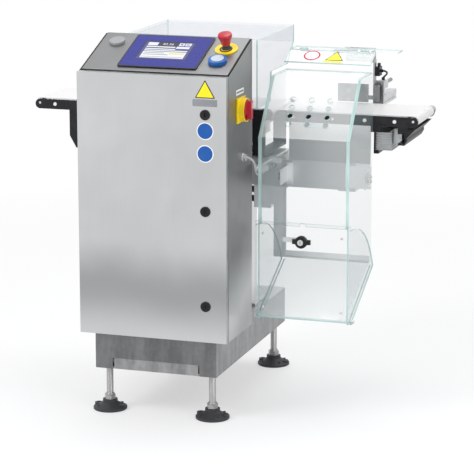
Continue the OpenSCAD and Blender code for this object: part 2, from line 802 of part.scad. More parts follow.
// Three endless belts
module loop(x0, x1) {
    module track(r) {
        for (x = [x0 + loop_r + belt_t, x1 - loop_r - belt_t]) translate([x, axis_z]) circle(r, $fn = 64);
        translate([x0 + loop_r + belt_t, axis_z - r]) square([x1 - x0 - 2 * (loop_r + belt_t), 2 * r]);
    }
    translate([0, belt_y1, 0]) rotate([90, 0, 0]) linear_extrude(belt_w) difference() {
        track(loop_r + belt_t);
        track(loop_r);
    }
}
module belts() {
    color("#e6e7e6") {
        loop(infeed_x0, infeed_x1);
        loop(weigh_x0, weigh_x1);
        loop(outfeed_x0, outfeed_x1);
    }
}

// Slider beds under the upper runs
module slider_beds() {
    color("#c9cbcd") for (e = [[infeed_x0, infeed_x1], [weigh_x0, weigh_x1], [outfeed_x0, outfeed_x1]])
        span([e[0] + 34, plate_y0 + plate_t, bed_z - touch - 3], [e[1] - 34, plate_y1 - plate_t,
            bed_z - touch]);
}

// End rollers with their journals
module roller(x) {
    bar_y(belt_y0, belt_y1, x, axis_z, roller_d);
    bar_y(plate_y0 + 1, plate_y1 - 1, x, axis_z, journal_d);
}
module drive(x) {
    bar_y(belt_y0, belt_y1, x, axis_z, roller_d);
    bar_y(plate_y0 + 1, plate_y1 + 16, x, axis_z, journal_d);
}
inset = loop_r + belt_t;
module infeed_roller() { color("#d0d2d4") roller(infeed_x0 + inset); }
module infeed_drive() { color("#d0d2d4") drive(infeed_x1 - inset); }
module weigh_roller() { color("#d0d2d4") roller(weigh_x0 + inset); }
module weigh_drive() { color("#d0d2d4") drive(weigh_x1 - inset); }
module outfeed_roller() { color("#d0d2d4") roller(outfeed_x0 + inset); }
module outfeed_drive() { color("#d0d2d4") drive(outfeed_x1 - inset); }

// Ribbed motors under the belts and closed drive covers on the rear plates
motor_w = 51;
motor_h = 61;
motor_d = 100;
motor_z = plate_z - 48.5;
motor_top = motor_z + motor_h / 2;
rib_pitch = 7.2;
rib_t = 3.4;
rib_d = 3;
cover_r = 13;
cover_t = 24;
gear_w = 44;
module motor(x, y0) {
    low = motor_z - motor_h / 2;
    span([x - motor_w / 2 + rib_d, y0 + rib_d, low], [x + motor_w / 2 - rib_d, y0 + motor_d, motor_top]);
    for (i = [0 : 8]) span([x - motor_w / 2, y0, low + i * rib_pitch],
        [x + motor_w / 2, y0 + motor_d, low + i * rib_pitch + rib_t]);
    span([x - gear_w / 2, y0 + motor_d, motor_z - gear_w / 2], [x + gear_w / 2, plate_y1,
        motor_z + gear_w / 2]);
}
module oval(y0, y1, a, b, r) {
    n = r / norm(b - a) * [a[1] - b[1], b[0] - a[0]];
    for (p = [a, b]) bar_y(y0, y1, p[0], p[1], 2 * r);
    slab_y(y0, y1, [a + n, a - n, b - n, b + n]);
}
module drive_cover(x, mx) {
    y = plate_y1;
    a = [mx, motor_z + 4];
    b = [x, axis_z];
    difference() {
        oval(y, y + cover_t, a, b, cover_r);
        oval(y + 3, y + cover_t - 3, a, b, cover_r - 3);
        bar_y(y - over, y + 10, x, axis_z, journal_d + 6);
    }
}
outfeed_mx = outfeed_x1 - 112.5;
module conveyor_motors() {
    infeed_mx = infeed_x1 - 50;
    weigh_mx = weigh_x1 - 95;
    color("#b7babc") {
        motor(infeed_mx, plate_y0 + 45);
        motor(weigh_mx, plate_y0 + 45);
        motor(outfeed_mx, plate_y0 + 45);
        span([outfeed_mx + motor_w / 2, plate_y0 + 61, motor_z - 12], [outfeed_x1 - 62, plate_y1,
            motor_top + 3]);
        drive_cover(infeed_x1 - inset, infeed_mx);
        drive_cover(weigh_x1 - inset, weigh_mx);
        drive_cover(outfeed_x1 - inset, outfeed_mx + 20);
    }
}

// White caps over the axle screws
module screw_caps() {
    color("#eceeee") for (x = [infeed_x0 + 66, outfeed_x1 - 160, outfeed_x1 - 70])
        bar_y(plate_y0 - 3, plate_y0, x, plate_top - 14, 11);
}

// Pusher bracket on the rear plate of the outfeed
post_x = outfeed_x0 + 244;
push_x0 = post_x - 107;
push_y = belt_y1 + 2;
push_z = belt_z + 2;
rod_x = post_x + 12;
rod_z = belt_z + 9;
cyl_y = push_y + 45;
cyl_len = stroke + 35;
cyl_low = cyl_s * 0.73;
cyl_high = cyl_s * 0.27;
guide_z = rod_z + 38;
top_z = belt_z + 160;
module pusher_bracket() {
    y0 = push_y + 17;
    color("#c4c7c9") difference() {
        union() {
            span([post_x - 40, plate_y1, plate_z - 2], [post_x + 45, plate_y1 + 5, plate_top]);
            span([post_x, plate_y1 + 5, plate_z - 2], [post_x + 4, cyl_y - 8, top_z - 30]);
            span([rod_x - cyl_s / 2, cyl_y - 8, rod_z - cyl_low], [rod_x + cyl_s / 2, cyl_y,
                guide_z + 17]);
            span([post_x - 90, y0 + 8, top_z - 40], [post_x + 4, y0 + 13, top_z + 4]);
            span([post_x - 90, lid_hinge_y + 30, top_z], [post_x - 70, y0 + 8, top_z + 5]);
            span([post_x - 16, lid_hinge_y + 30, top_z], [post_x + 4, y0 + 8, top_z + 5]);
            span([post_x - 90, lid_hinge_y + 30, top_z + 5], [post_x + 4, lid_hinge_y + 50, lid_top_z]);
        }
        bar_y(cyl_y - 9, cyl_y + 1, rod_x, rod_z, 18);
        bar_y(cyl_y - 9, cyl_y + 1, rod_x, guide_z, rod_d + 6);
    }
}

// Profile cylinder and guide housing behind the bracket
module push_cylinder() {
    x0 = rod_x - cyl_s / 2;
    slot_z = rod_z - cyl_low / 2;
    color("#b9bcbf") difference() {
        union() {
            span([x0, cyl_y, rod_z - cyl_low], [x0 + cyl_s, cyl_y + cyl_len, rod_z + cyl_high]);
            span([x0 + 3, cyl_y, guide_z - 12], [x0 + cyl_s - 3, cyl_y + 60, guide_z + 12]);
            span([x0 + 8, cyl_y, rod_z + cyl_high], [x0 + cyl_s - 8, cyl_y + 40, guide_z - 12]);
        }
        for (e = [x0 - 2, x0 + cyl_s - 2]) span([e, cyl_y - over, slot_z - 3], [e + 4,
            cyl_y + cyl_len + over, slot_z + 1]);
        bar_y(cyl_y - over, cyl_y + cyl_len - 8, rod_x, rod_z, 10 + 2 * run);
        bar_y(cyl_y - over, cyl_y + 61, rod_x, guide_z, rod_d + 2 * run);
    }
}

// Moving push plate with its arm and two rods
module push_plate() {
    y = push_y;
    color("#c9ccce") {
        difference() {
            span([push_x0, y, push_z], [push_x0 + push_w, y + 4, push_z + push_h]);
            span([push_x0 - over, y - over, push_z + push_h * 0.26], [push_x0 + push_w + over,
                y + 0.6, push_z + push_h * 0.28]);
        }
        for (z = [push_z + push_h * 0.58, push_z + push_h * 0.1 + 3]) bar_y(y - 1.5, y, push_x0 + 27,
            z, 8);
        span([push_x0 + push_w - 30, y + 4, push_z + 8], [rod_x + 9, y + 12, push_z + 20]);
        span([rod_x - 9, y + 4, rod_z - 6], [rod_x + 9, y + 12, guide_z + 8]);
        bar_y(y + 12, cyl_y + cyl_len - 14, rod_x, rod_z, 10);
        bar_y(y + 12, cyl_y + cyl_len - 14, rod_x, guide_z, rod_d);
    }
}

// Valve on the post, with its hose loop to the cylinder
valve_z = guide_z + 46;
hose_points = [[16, 3, 0], [22, 3, 0], [27, 6, -1], [30, 12, -4], [30, 20, -8], [27, 29, -13], [22,
    37, -18],
    [17, 43, -22], [14, 45, -25], [12.5, 46, -29], [12, 46, -32]];
module air_valve() {
    color("#3a3d40") {
        span([post_x + 4, cyl_y - 18, valve_z - 14], [post_x + 16, cyl_y + 14, valve_z + 14]);
        bar_z(valve_z + 14, valve_z + 24, post_x + 10, cyl_y, 10);
        bar_x(post_x + 16, post_x + 22, cyl_y + 3, valve_z, 10);
        bar_z(guide_z + 12, guide_z + 20, rod_x, cyl_y + 46, 10);
        translate([post_x, cyl_y, valve_z]) tube(hose_points, 3);
    }
}

// Clear side panels of the guard with the chute floor bonded between them
side_outline = [[gy1, floor_rear_z - 12], [gy1, guard_top - 2], [slant_y, guard_top - 2],
    [gy0, slant_z], [gy0, flap_z - 3], [gy0 + 4, flap_z - 8], [flap_y + 4, flap_z - 8]];
module guard_body() {
    t = glass / cos(floor_slope);
    run_y = gy1 - gy0 - 4;
    color("#cfe6e2", 0.35) slab_x(gx0 + glass, gx1 - glass, [[gy1, floor_rear_z - t], [gy1, floor_rear_z],
        [gy1 - run_y, floor_rear_z - run_y * tan(floor_slope)],
        [gy1 - run_y, floor_rear_z - run_y * tan(floor_slope) - t]]);
    color("#cfe6e2", 0.35) for (x = [gx0, gx1 - glass]) slab_x(x, x + glass, side_outline);
    color("#c4c7c9") {
        for (x = [cheek_x0 - 4, gx1 - glass]) bar_x(x, x + cheek_out + glass + 4, flap_y, flap_z,
            pivot_d);
        for (x = [cheek_x0 - 5, cheek_x1 + touch]) bar_x(x, x + 5 - touch, flap_y, flap_z, 12);
    }
}

// Clear bent front panel with vent holes and a notch for the cam
edge_z = flap_z + cheek_r + 3;
notch_x = gx0 + 134;
vent_share = 0.433;
module guard_front() {
    dy = slant_y - gy0;
    dz = guard_top - slant_z;
    long = norm([dy, dz]);
    shift = glass * (long - dy) / dz;
    fall = glass * (long - dz) / dy;
    color("#cfe6e2", 0.35) difference() {
        slab_x(gx0 + glass, gx1 - glass, [[gy0, edge_z], [gy0, slant_z + fall], [slant_y, guard_top],
            [gy1, guard_top], [gy1, guard_top - glass], [slant_y + glass - shift, guard_top - glass],
            [gy0 + glass, slant_z], [gy0 + glass, edge_z]]);
        for (i = [-1 : 1], k = [0 : 3])
            translate([(gx0 + gx1) / 2 + i * 55, gy0 + vent_share * dy, slant_z + vent_share * dz])
                rotate([atan2(dz, dy), 0, 0]) translate([0, (k - 1.5) * 27, -3 * glass])
                    cylinder(h = 6 * glass, d = vent_d, $fn = fine);
        span([notch_x - 9, gy0 - over, edge_z - over], [notch_x + 9, gy0 + glass + over, edge_z + 8]);
    }
}

// Brackets and support bar that hang the guard on the cross housing
bar_d = 8;
bar_gx = gx0 - 30;
bar_gz = beam_top + bar_d / 2 + 1;
fold = 3;
module guard_brackets() {
    color("#a9acaf") {
        for (e = [[gx0 + glass, gx0 + glass + 20], [beam_x1 - 30, gx1 - glass]])
            span([e[0], beam_y0 - 5, beam_z + 8], [e[1], beam_y0 - 2, beam_top - 8]);
        span([gx0 + glass, beam_y0 - 5, beam_z + 20], [gx0 + glass + 20, beam_y0, beam_top - 20]);
        for (x = [gx0 + glass, gx1 - glass - fold])
            span([x, gy1 - 60, beam_z + 18], [x + fold, beam_y0 - 5, beam_top - 18]);
        bar_y(gy0 + 66, beam_y0 + 120, bar_gx, bar_gz, bar_d);
        for (y = [gy0 + 80, gy1 - 40]) span([bar_gx - bar_d, y, bar_gz - bar_d], [gx0, y + 22, bar_gz + bar_d]);
        span([bar_gx - 12, beam_y0 + 20, beam_top], [bar_gx + 12, beam_y0 + 60, bar_gz]);
        span([gx0 - 32, gy1, floor_rear_z - 7], [gx0 + 8, gy1 + fold, beam_z]);
        span([gx0 - 32, gy1, beam_z - 4], [gx0 + 8, beam_y0 + 40, beam_z]);
        span([gx0 + 8, gy1, floor_rear_z - 7], [gx1 - glass, gy1 + fold, floor_rear_z + 15]);
    }
}

// Fixed clear sheet over the guard, which carries the lid
lid_hinge_y = gy1 + lid_len * cos(lid_slope);
lid_hinge_z = guard_top + 22 + lid_len * sin(lid_slope);
lid_top_z = lid_hinge_z - 4;
lid_top_d = 55;
module lid_top() {
    color("#cfe6e2", 0.35) span([gx0, lid_hinge_y + 7, lid_top_z], [gx1 + 56,
        lid_hinge_y + 7 + lid_top_d, lid_top_z + glass]);
    color("#2b2d30") for (x = [gx0 + 30, gx1 - 55]) difference() {
        union() {
            span([x, lid_hinge_y + 6, lid_top_z - 4], [x + 25, lid_hinge_y + 24, lid_top_z]);
            bar_x(x, x + 25, lid_hinge_y, lid_hinge_z, 9);
            span([x, lid_hinge_y, lid_hinge_z - 2], [x + 25, lid_hinge_y + 8, lid_hinge_z + 2]);
        }
        bar_x(x - over, x + 26, lid_hinge_y, lid_hinge_z, 4 + 2 * run);
    }
}

// Hinged clear lid
module guard_lid() {
    color("#cfe6e2", 0.35) translate([0, lid_hinge_y, lid_hinge_z]) rotate([lid_slope, 0, 0])
        span([gx0, -lid_len - 4, -2], [gx1 - 8, -6, -2 + glass]);
    color("#c4c7c9") for (x = [gx0 + 30, gx1 - 55]) {
        bar_x(x - 8, x + 33, lid_hinge_y, lid_hinge_z, 4);
        for (e = [x - 7, x + 27]) translate([0, lid_hinge_y, lid_hinge_z]) rotate([lid_slope, 0, 0]) {
            rotate([0, 90, 0]) translate([0, 0, e]) cylinder(h = 5, d = 8, $fn = fine);
            span([e, -8, -2], [e + 5, 0, 2]);
        }
    }
}

// Tilting front of the bin with its quarter-round cheeks
flap_y0 = gy0 - flap_gap - glass;
sheet_z = flap_z + 5;
module bin_flap() {
    reach = flap_y - flap_y0 - glass;
    color("#cfe6e2", 0.35) difference() {
        union() {
            span([cheek_x0, flap_y0, sheet_z], [cheek_x1, flap_y0 + glass, flap_z + cheek_r + 14]);
            for (x = [cheek_x0, cheek_x1 - glass]) translate([x, flap_y, flap_z]) rotate([90, 0, 90])
                linear_extrude(glass) {
                    circle(9, $fn = fine);
                    intersection() {
                        circle(cheek_r, $fn = 180);
                        polygon([[-reach, -5], [6, -5], [2 * cheek_r * cos(floor_slope),
                            2 * cheek_r * sin(floor_slope) - 5],
                            [2 * cheek_r, 2 * cheek_r], [-reach, 2 * cheek_r]]);
                    }
                }
        }
        for (x = [cheek_x0, cheek_x1 - glass]) bar_x(x - over, x + glass + over, flap_y, flap_z,
            pivot_d + 2 * run);
        bar_y(flap_y0 - over, flap_y0 + glass + over, lock_x, lock_z, flap_core + 6);
    }
}

// Lock body on the flap
lock_x = gx0 + 134;
lock_z = flap_z + 231;
flap_core = core_d + 3;
body_d = 36;
ear_x = 27;
ear_z = 7;
module flap_lock() {
    color("#1d1e20") difference() {
        union() {
            bar_y(flap_y0 - 12, flap_y0, lock_x, lock_z, body_d);
            span([lock_x - ear_x, flap_y0 - 8, lock_z - ear_z], [lock_x + ear_x, flap_y0,
                lock_z + ear_z]);
            bar_y(flap_y0, flap_y0 + glass + 3, lock_x, lock_z, flap_core + 5.4);
        }
        bar_y(flap_y0 - 13, flap_y0 + glass + 4, lock_x, lock_z, flap_core + 2 * run);
    }
}

// Turning key core and cam of the flap
cam_len = 62;
module flap_key() {
    y = gy0 + glass + 1;
    color("#c4c7c9") {
        difference() {
            bar_y(flap_y0 - 18, y + 3, lock_x, lock_z, flap_core);
            span([lock_x - 1.2, flap_y0 - 19, lock_z - 4.5], [lock_x + 1.2, flap_y0 - 13, lock_z + 4.5]);
        }
        span([lock_x - cam_len, y, lock_z - 7], [lock_x, y + 3, lock_z + 7]);
    }
}

// Hinge brackets of the canopy on the cabinet's rear wall
can_x0 = weigh_x0;
can_x1 = weigh_x1;
can_y0 = rear_y + 16;
can_y1 = plate_y1 + 5;
can_z = belt_z + canopy_up;
can_hy = rear_y + 10;
can_hz = can_z - 5;
hinge_low = min(can_hz - 22, console_z + (rear_y - console_y) * tan(console_slope) - 30);
hinge_xs = [can_x0 + 50, can_x1 - 80];
module canopy_hinges() {
    color("#c4c7c9") for (x = hinge_xs) difference() {
        union() {
            span([x, rear_y, hinge_low], [x + 30, rear_y + 3, can_hz + 8]);
            span([x, rear_y, can_hz - 4], [x + 30, can_hy, can_hz + 4]);
            bar_x(x, x + 30, can_hy, can_hz, 8);
        }
        bar_x(x - over, x + 31, can_hy, can_hz, 4 + 2 * run);
    }
}

// Clear canopy over the weigh belt, with a tunnel through both side panels
module canopy_cover() {
    low = belt_z + 26;
    ceil_z = belt_z + tunnel_h;
    g = glass;
    color("#cfe6e2", 0.35) {
        for (x = [can_x0, can_x1 - g]) slab_x(x, x + g, [[can_y0 + g, low], [plate_y0 - 19, low],
            [plate_y0 - 5, ceil_z], [can_y1 - 64, ceil_z], [can_y1, can_z - 52], [can_y1, can_z - g],
            [can_y0 + g, can_z - g]]);
        difference() {
            span([can_x0, can_y0, low], [can_x1, can_y0 + g, can_z - g]);
            for (x = hinge_xs) span([x - 14, can_y0 - over, can_hz - 14], [x + 44, can_y0 + g + over,
                can_z]);
        }
        span([can_x0, can_y0, can_z - g], [can_x1, can_y1, can_z]);
        span([can_x0 + g, can_y1 - g, can_z - 52], [can_x1 - g, can_y1, can_z - g]);
    }
    color("#c4c7c9") for (x = hinge_xs) {
        bar_x(x - 10, x + 40, can_hy, can_hz, 4);
        for (e = [x - 9, x + 33]) {
            bar_x(e, e + 6, can_hy, can_hz, 8);
            span([e, can_hy - 3, can_hz], [e + 6, can_hy + 3, can_z]);
            span([e, can_hy - 3, can_z - 2], [e + 6, can_y0 + 12, can_z + 1]);
        }
    }
}

// Light barrier in front of the weigh belt
module light_barrier() {
    x = infeed_x1 - 100;
    color("#2b2d30") for (y = [plate_y0 - 14, plate_y1]) {
        span([x, y, plate_z], [x + 20, y + 14, belt_z + 40]);
        span([x - 3, y, belt_z + 14], [x + 23, y + 14, belt_z + 38]);
    }
}

// Door with slots for the hinge tabs and holes for the locks
lock_cx = hx - lock_in;
lock_zs = [for (i = [2 : -1 : 0]) door_z + lock_low + i * lock_pitch];
module cabinet_door() {
    color("#b2b5b8") difference() {
        union() {
            difference() {
                span([-hx, door_y, door_z], [hx, door_back, door_top]);
                span([-hx + sheet, door_y + sheet, door_z + sheet], [hx - sheet, door_back + over,
                    door_top - sheet]);
                for (z = tab_z) span([-hx - over, door_y + sheet + 1, z - tab_h / 2 - 2],
                    [-hx + sheet + over, door_back + over, z + tab_h / 2 + 2]);
            }
            for (z = tab_z, j = [-1, 1]) {
                zc = z + j * (tab_h / 2 + 6);
                bar_z(zc - 4, zc + 4, pin_x, pin_y, pin_d + 4);
                span([-hx + sheet - 0.5, door_y + sheet, zc - 4], [pin_x + 1.9, pin_y, zc + 4]);
            }
        }
        for (z = tab_z, j = [-1, 1]) bar_z(z + j * (tab_h / 2 + 6) - 8, z + j * (tab_h / 2 + 6) + 8,
            pin_x, pin_y,
            pin_d + 2 * run);
        for (z = lock_zs) bar_y(door_y - over, door_y + sheet + over, lock_cx, z, core_d + 8);
    }
}

// Lock housings in the door
module lock_housings() {
    color("#1d1e20") for (z = lock_zs) difference() {
        union() {
            bar_y(door_y - 3.5, door_y, lock_cx, z, lock_d);
            bar_y(door_y, door_y + door_t - 2, lock_cx, z, core_d + 7.4);
        }
        bar_y(door_y - 5, door_y + door_t, lock_cx, z, core_d + 2 * run);
    }
}

// Turning core of a lock, with its slot and cam
cam_y = body_y + sheet + 1.5;
module lock_core(z) {
    color("#2a2c2f") {
        difference() {
            bar_y(door_y - 3, cam_y + 3, lock_cx, z, core_d);
            span([lock_cx - 1.5, door_y - 4, z - 6], [lock_cx + 1.5, door_y, z + 6]);
        }
        span([lock_cx - 8, cam_y, z - 8], [lock_cx + 8, cam_y + 3, z + 46]);
    }
}
module lock_core_1() { lock_core(lock_zs[0]); }
module lock_core_2() { lock_core(lock_zs[1]); }
module lock_core_3() { lock_core(lock_zs[2]); }

plinth_frame();
foot_pads();
foot_stems();
cabinet_shell();
console_panel();
door_seal();
hinge_pins();
screen_bezel();
screen_glass();
control_unit();
junction_box();
estop_base();
console_caps();
reset_bezel();
isolator_plate();
cable_glands();
signal_cable();
mount_plate();
rail_devices();
motor_drives();
columns();
beam_housing();
load_cell();
infeed_frame();
weigh_frame();
outfeed_frame();
belts();
slider_beds();
conveyor_motors();
screw_caps();
pusher_bracket();
push_cylinder();
air_valve();
guard_body();
guard_front();
guard_brackets();
lid_top();
canopy_hinges();
light_barrier();
cabinet_door();
lock_housings();
lock_core_1();
lock_core_2();
lock_core_3();
estop_stem();
estop_button();
reset_lens();
isolator_knob();
infeed_roller();
infeed_drive();
weigh_roller();
weigh_drive();
outfeed_roller();
outfeed_drive();
push_plate();
canopy_cover();
guard_lid();
bin_flap();
flap_lock();
flap_key();
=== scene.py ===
"""Looks of a checkweigher with a clear reject bin, built round its packed construction."""

import json
import math

import bmesh
import bpy
from mathutils import Matrix, Vector


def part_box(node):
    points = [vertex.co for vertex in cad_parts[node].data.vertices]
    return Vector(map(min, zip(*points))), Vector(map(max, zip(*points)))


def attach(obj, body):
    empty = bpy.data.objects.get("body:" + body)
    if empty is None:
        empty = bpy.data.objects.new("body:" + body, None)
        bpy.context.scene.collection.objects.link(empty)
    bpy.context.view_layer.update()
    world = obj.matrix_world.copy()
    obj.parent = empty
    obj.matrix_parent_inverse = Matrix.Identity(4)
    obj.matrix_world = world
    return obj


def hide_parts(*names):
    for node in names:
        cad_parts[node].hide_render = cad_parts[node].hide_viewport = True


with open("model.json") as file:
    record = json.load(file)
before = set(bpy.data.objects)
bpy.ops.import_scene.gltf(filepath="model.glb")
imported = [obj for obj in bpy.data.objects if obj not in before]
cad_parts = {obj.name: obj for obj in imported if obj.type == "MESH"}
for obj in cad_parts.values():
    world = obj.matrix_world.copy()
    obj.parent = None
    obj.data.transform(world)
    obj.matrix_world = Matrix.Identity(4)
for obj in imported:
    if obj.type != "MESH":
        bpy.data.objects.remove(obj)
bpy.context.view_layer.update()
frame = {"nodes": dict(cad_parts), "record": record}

bl_info = {
    "name": "Checkweigher looks",
    "version": (1, 0, 0),
    "blender": (4, 5, 0),
    "location": "3D view, sidebar, Checkweigher",
    "description": "Finishes, clear sheets, signs, screen and stage of a checkweigher",
    "category": "Object",
}

MM = 0.001
ALONG_X, ALONG_Y, ALONG_Z = range(3)


class Link:
    """A shader socket whose operators add Math nodes."""

    def __init__(self, tree, socket):
        self.tree = tree
        self.socket = socket

    def math(self, operation, *values):
        """One Math node with the given values or links."""
        made = self.tree.nodes.new("ShaderNodeMath")
        made.operation = operation
        for slot, value in zip(made.inputs, values):
            if isinstance(value, Link):
                self.tree.links.new(value.socket, slot)
            else:
                slot.default_value = value
        return Link(self.tree, made.outputs[0])

    def __add__(self, other):
        return self.math("ADD", self, other)

    def __sub__(self, other):
        return self.math("SUBTRACT", self, other)

    def __mul__(self, other):
        return self.math("MULTIPLY", self, other)


class Finish:
    """A material in the making, with short ways to add its nodes."""

    def __init__(self, name, color, metallic=0.0, roughness=0.5, **extra):
        self.material = bpy.data.materials.new(name)
        self.material.use_nodes = True
        self.tree = self.material.node_tree
        self.surface = self.tree.nodes["Principled BSDF"]
        self.surface.inputs["Base Color"].default_value = (*color, 1.0)
        self.surface.inputs["Metallic"].default_value = metallic
        self.surface.inputs["Roughness"].default_value = roughness
        for socket, value in extra.items():
            self.surface.inputs[socket.replace("_", " ")].default_value = value
        self.place = self.node("ShaderNodeTexCoord", out="Object")

    def node(self, kind, settings=None, out=0, **inputs):
        """Any node, with its settings set first and then its sockets' values or links."""
        made = self.tree.nodes.new(kind)
        for name, value in (settings or {}).items():
            setattr(made, name, value)
        for name, value in inputs.items():
            key = name.replace("_", " ")
            slot = made.inputs[int(key[3:])] if key.startswith("in ") else made.inputs[key]
            if isinstance(value, Link):
                self.tree.links.new(value.socket, slot)
            else:
                slot.default_value = value
        return Link(self.tree, made.outputs[out])

    def scaled(self, scale):
        """Object coordinates stretched along each direction."""
        return self.node("ShaderNodeMapping", Vector=self.place, Scale=scale)

    def noise(self, scale, detail=3.0, stretch=(1, 1, 1)):
        """A noise value from 0 to 1."""
        vector = self.scaled(stretch)
        return self.node("ShaderNodeTexNoise", Vector=vector, Scale=scale, Detail=detail, Roughness=0.55)

    def ramp(self, value, low, high):
        """The value brought from low..high to 0..1 and held there."""
        return self.node("ShaderNodeMapRange", Value=value, From_Min=low, From_Max=high)

    def mix(self, factor, first, second):
        """Two colours mixed by a factor."""
        made = self.tree.nodes.new("ShaderNodeMix")
        made.data_type = "RGBA"
        for key, value in ((0, factor), (6, first), (7, second)):
            if isinstance(value, Link):
                self.tree.links.new(value.socket, made.inputs[key])
            else:
                made.inputs[key].default_value = value if key == 0 else (*value, 1.0)
        return Link(self.tree, made.outputs[2])

    def feed(self, socket, value):
        """Joins a link to one of the surface's sockets."""
        self.tree.links.new(value.socket, self.surface.inputs[socket])

    def coated(self, paint, rough, height, strength, distance):
        """The material, with its colour, its roughness and a bump's height, strength and distance."""
        self.feed("Base Color", paint)
        self.feed("Roughness", rough)
        self.feed("Normal", self.node("ShaderNodeBump", Height=height, Strength=strength, Distance=distance))
        return self.material


def shade(color, factor):
    """A colour made lighter or darker."""
    return tuple(min(1.0, part * factor) for part in color)


def brushed(name, color, along, roughness=0.3, depth=0.25, bands=(), lean=0.0):
    """Steel ground along one direction, with soft clouds, fine lines and broad painted bands of reflected
    light and shade.

    A band of painted reflected light or shade is its height and half width in metres and the share that it
    lightens or darkens by. With a lean, its height also changes along y.
    """
    made = Finish(name, color, metallic=1.0, roughness=roughness)
    stretch = [90.0, 90.0, 90.0]
    stretch[along] = 1.2
    lines = made.noise(5.0, 4.0, stretch)
    clouds = made.noise(2.3, 3.0)
    marks = made.ramp(made.noise(14.0, 5.0), 0.52, 0.75)
    tone = made.ramp(lines * 0.18 + clouds * 0.82, 0.33, 0.67)
    paint = made.mix(tone, shade(color, 0.9), shade(color, 1.06))
    parts = made.tree.nodes.new("ShaderNodeSeparateXYZ")
    made.tree.links.new(made.place.socket, parts.inputs[0])
    height = Link(made.tree, parts.outputs["Z"]) + Link(made.tree, parts.outputs["Y"]) * lean
    height = height + clouds * 0.12 - 0.06
    # Painted reflected light and shade: each band makes the steel lighter or darker round its height
    for middle, half, change in bands:
        away = made.node("ShaderNodeMath", {"operation": "ABSOLUTE"}, in_0=height - middle)
        fade = made.node("ShaderNodeMapRange", {"interpolation_type": "SMOOTHSTEP"}, Value=away,
                         From_Min=half, From_Max=0.0)
        paint = made.mix(fade, paint, shade(color, 1.0 + change))
    rough = lines * 0.16 + clouds * 0.08 + marks * 0.07 + (roughness - 0.12)
    return made.coated(paint, rough, lines, depth, 0.0004)


def ground(name, color, roughness=0.25):
    """Small turned or drawn steel, with fine scratches and slight stains."""
    made = Finish(name, color, metallic=1.0, roughness=roughness)
    scratch = made.noise(160.0, 3.0, (1, 1, 0.2))
    stain = made.noise(28.0, 4.0)
    paint = made.mix(made.ramp(stain, 0.3, 0.75), shade(color, 1.05), shade(color, 0.8))
    return made.coated(paint, scratch * 0.15 + stain * 0.12 + (roughness - 0.1), scratch, 0.12, 0.0003)


def pickled(name, color, roughness=0.42):
    """Welded steel as it leaves the pickling bath, with runs and mottled patches."""
    made = Finish(name, color, metallic=1.0, roughness=roughness)
    runs = made.noise(9.0, 6.0, (4, 4, 0.7))
    spots = made.noise(60.0, 4.0)
    tone = made.ramp(runs * 0.7 + spots * 0.3, 0.38, 0.62)
    paint = made.mix(tone, shade(color, 0.78), shade(color, 1.2))
    return made.coated(paint, runs * 0.2 + spots * 0.08 + (roughness - 0.14), spots, 0.2, 0.0003)


def threaded(name, color, pitch=0.003, roughness=0.3):
    """Upright threaded rod: rings a pitch apart, with painted shade in the roots."""
    made = Finish(name, color, metallic=1.0, roughness=roughness)
    rings = made.node("ShaderNodeTexWave", {"wave_type": "BANDS", "bands_direction": "Z"}, out=1,
                      Vector=made.place, Scale=math.pi / (10.0 * pitch), Distortion=0.0)
    stain = made.noise(40.0, 4.0)
    # Painted shade: the rings darken the thread's roots and lighten its crests
    paint = made.mix(rings, shade(color, 0.55), shade(color, 1.1))
    return made.coated(paint, stain * 0.2 + (roughness - 0.08), rings, 0.6, 0.0008)


def moulded(name, color, roughness=0.4, shine=0.5, grain=900.0, depth=0.15, coat=0.0):
    """Moulded plastic or rubber with an eroded grain, dust in the hollows and rubbed places."""
    made = Finish(name, color, roughness=roughness, Coat_Weight=coat, Specular_IOR_Level=shine)
    pores = made.noise(grain, 2.0)
    dust = made.ramp(made.noise(35.0, 5.0), 0.45, 0.8)
    paint = made.mix(dust * 0.45, color, tuple(part * 0.9 + 0.03 for part in color))
    return made.coated(paint, pores * 0.12 + dust * 0.12 + (roughness - 0.06), pores, depth, 0.0002)


def painted(name, color, roughness=0.45, shine=0.3):
    """Powder coat with its slight orange peel."""
    made = Finish(name, color, roughness=roughness, Specular_IOR_Level=shine)
    peel = made.noise(420.0, 2.0)
    wear = made.ramp(made.noise(22.0, 6.0), 0.56, 0.8)
    paint = made.mix(wear * 0.5, color, tuple(part * 0.9 + 0.02 for part in color))
    return made.coated(paint, peel * 0.14 + wear * 0.12 + (roughness - 0.08), peel, 0.2, 0.0003)


def belt_cloth(name, color):
    """Coated belting with a fine cross weave and scuffed tracks."""
    made = Finish(name, color, roughness=0.55)
    along, across = (made.node("ShaderNodeTexWave", {"wave_type": "BANDS", "bands_direction": way}, out=1,
                               Vector=made.place, Scale=420.0, Distortion=0.6) for way in "XY")
    scuff = made.ramp(made.noise(9.0, 5.0, (0.25, 5, 1)), 0.5, 0.85)
    paint = made.mix(scuff * 0.4, color, shade(color, 0.86))
    return made.coated(paint, scuff * 0.15 + 0.45, along * across, 0.2, 0.0002)


def clear_sheet(name, tint, alpha_low, alpha_high):
    """Polished clear sheet: faint tint, soft smears, and gloss from the shader."""
    made = Finish(name, tint, roughness=0.05, IOR=1.45)
    smear = made.noise(6.0, 4.0, (1, 1, 0.4))
    facing = made.node("ShaderNodeLayerWeight", out="Facing", Blend=0.35)
    veil = made.ramp(facing, 0.0, 1.0) * (alpha_high - alpha_low) + smear * 0.03 + (alpha_low - 0.015)
    made.feed("Alpha", veil)
    made.feed("Roughness", smear * 0.08 + 0.02)
    made.feed("Base Color", made.mix(smear, tint, shade(tint, 1.04)))
    return made.material


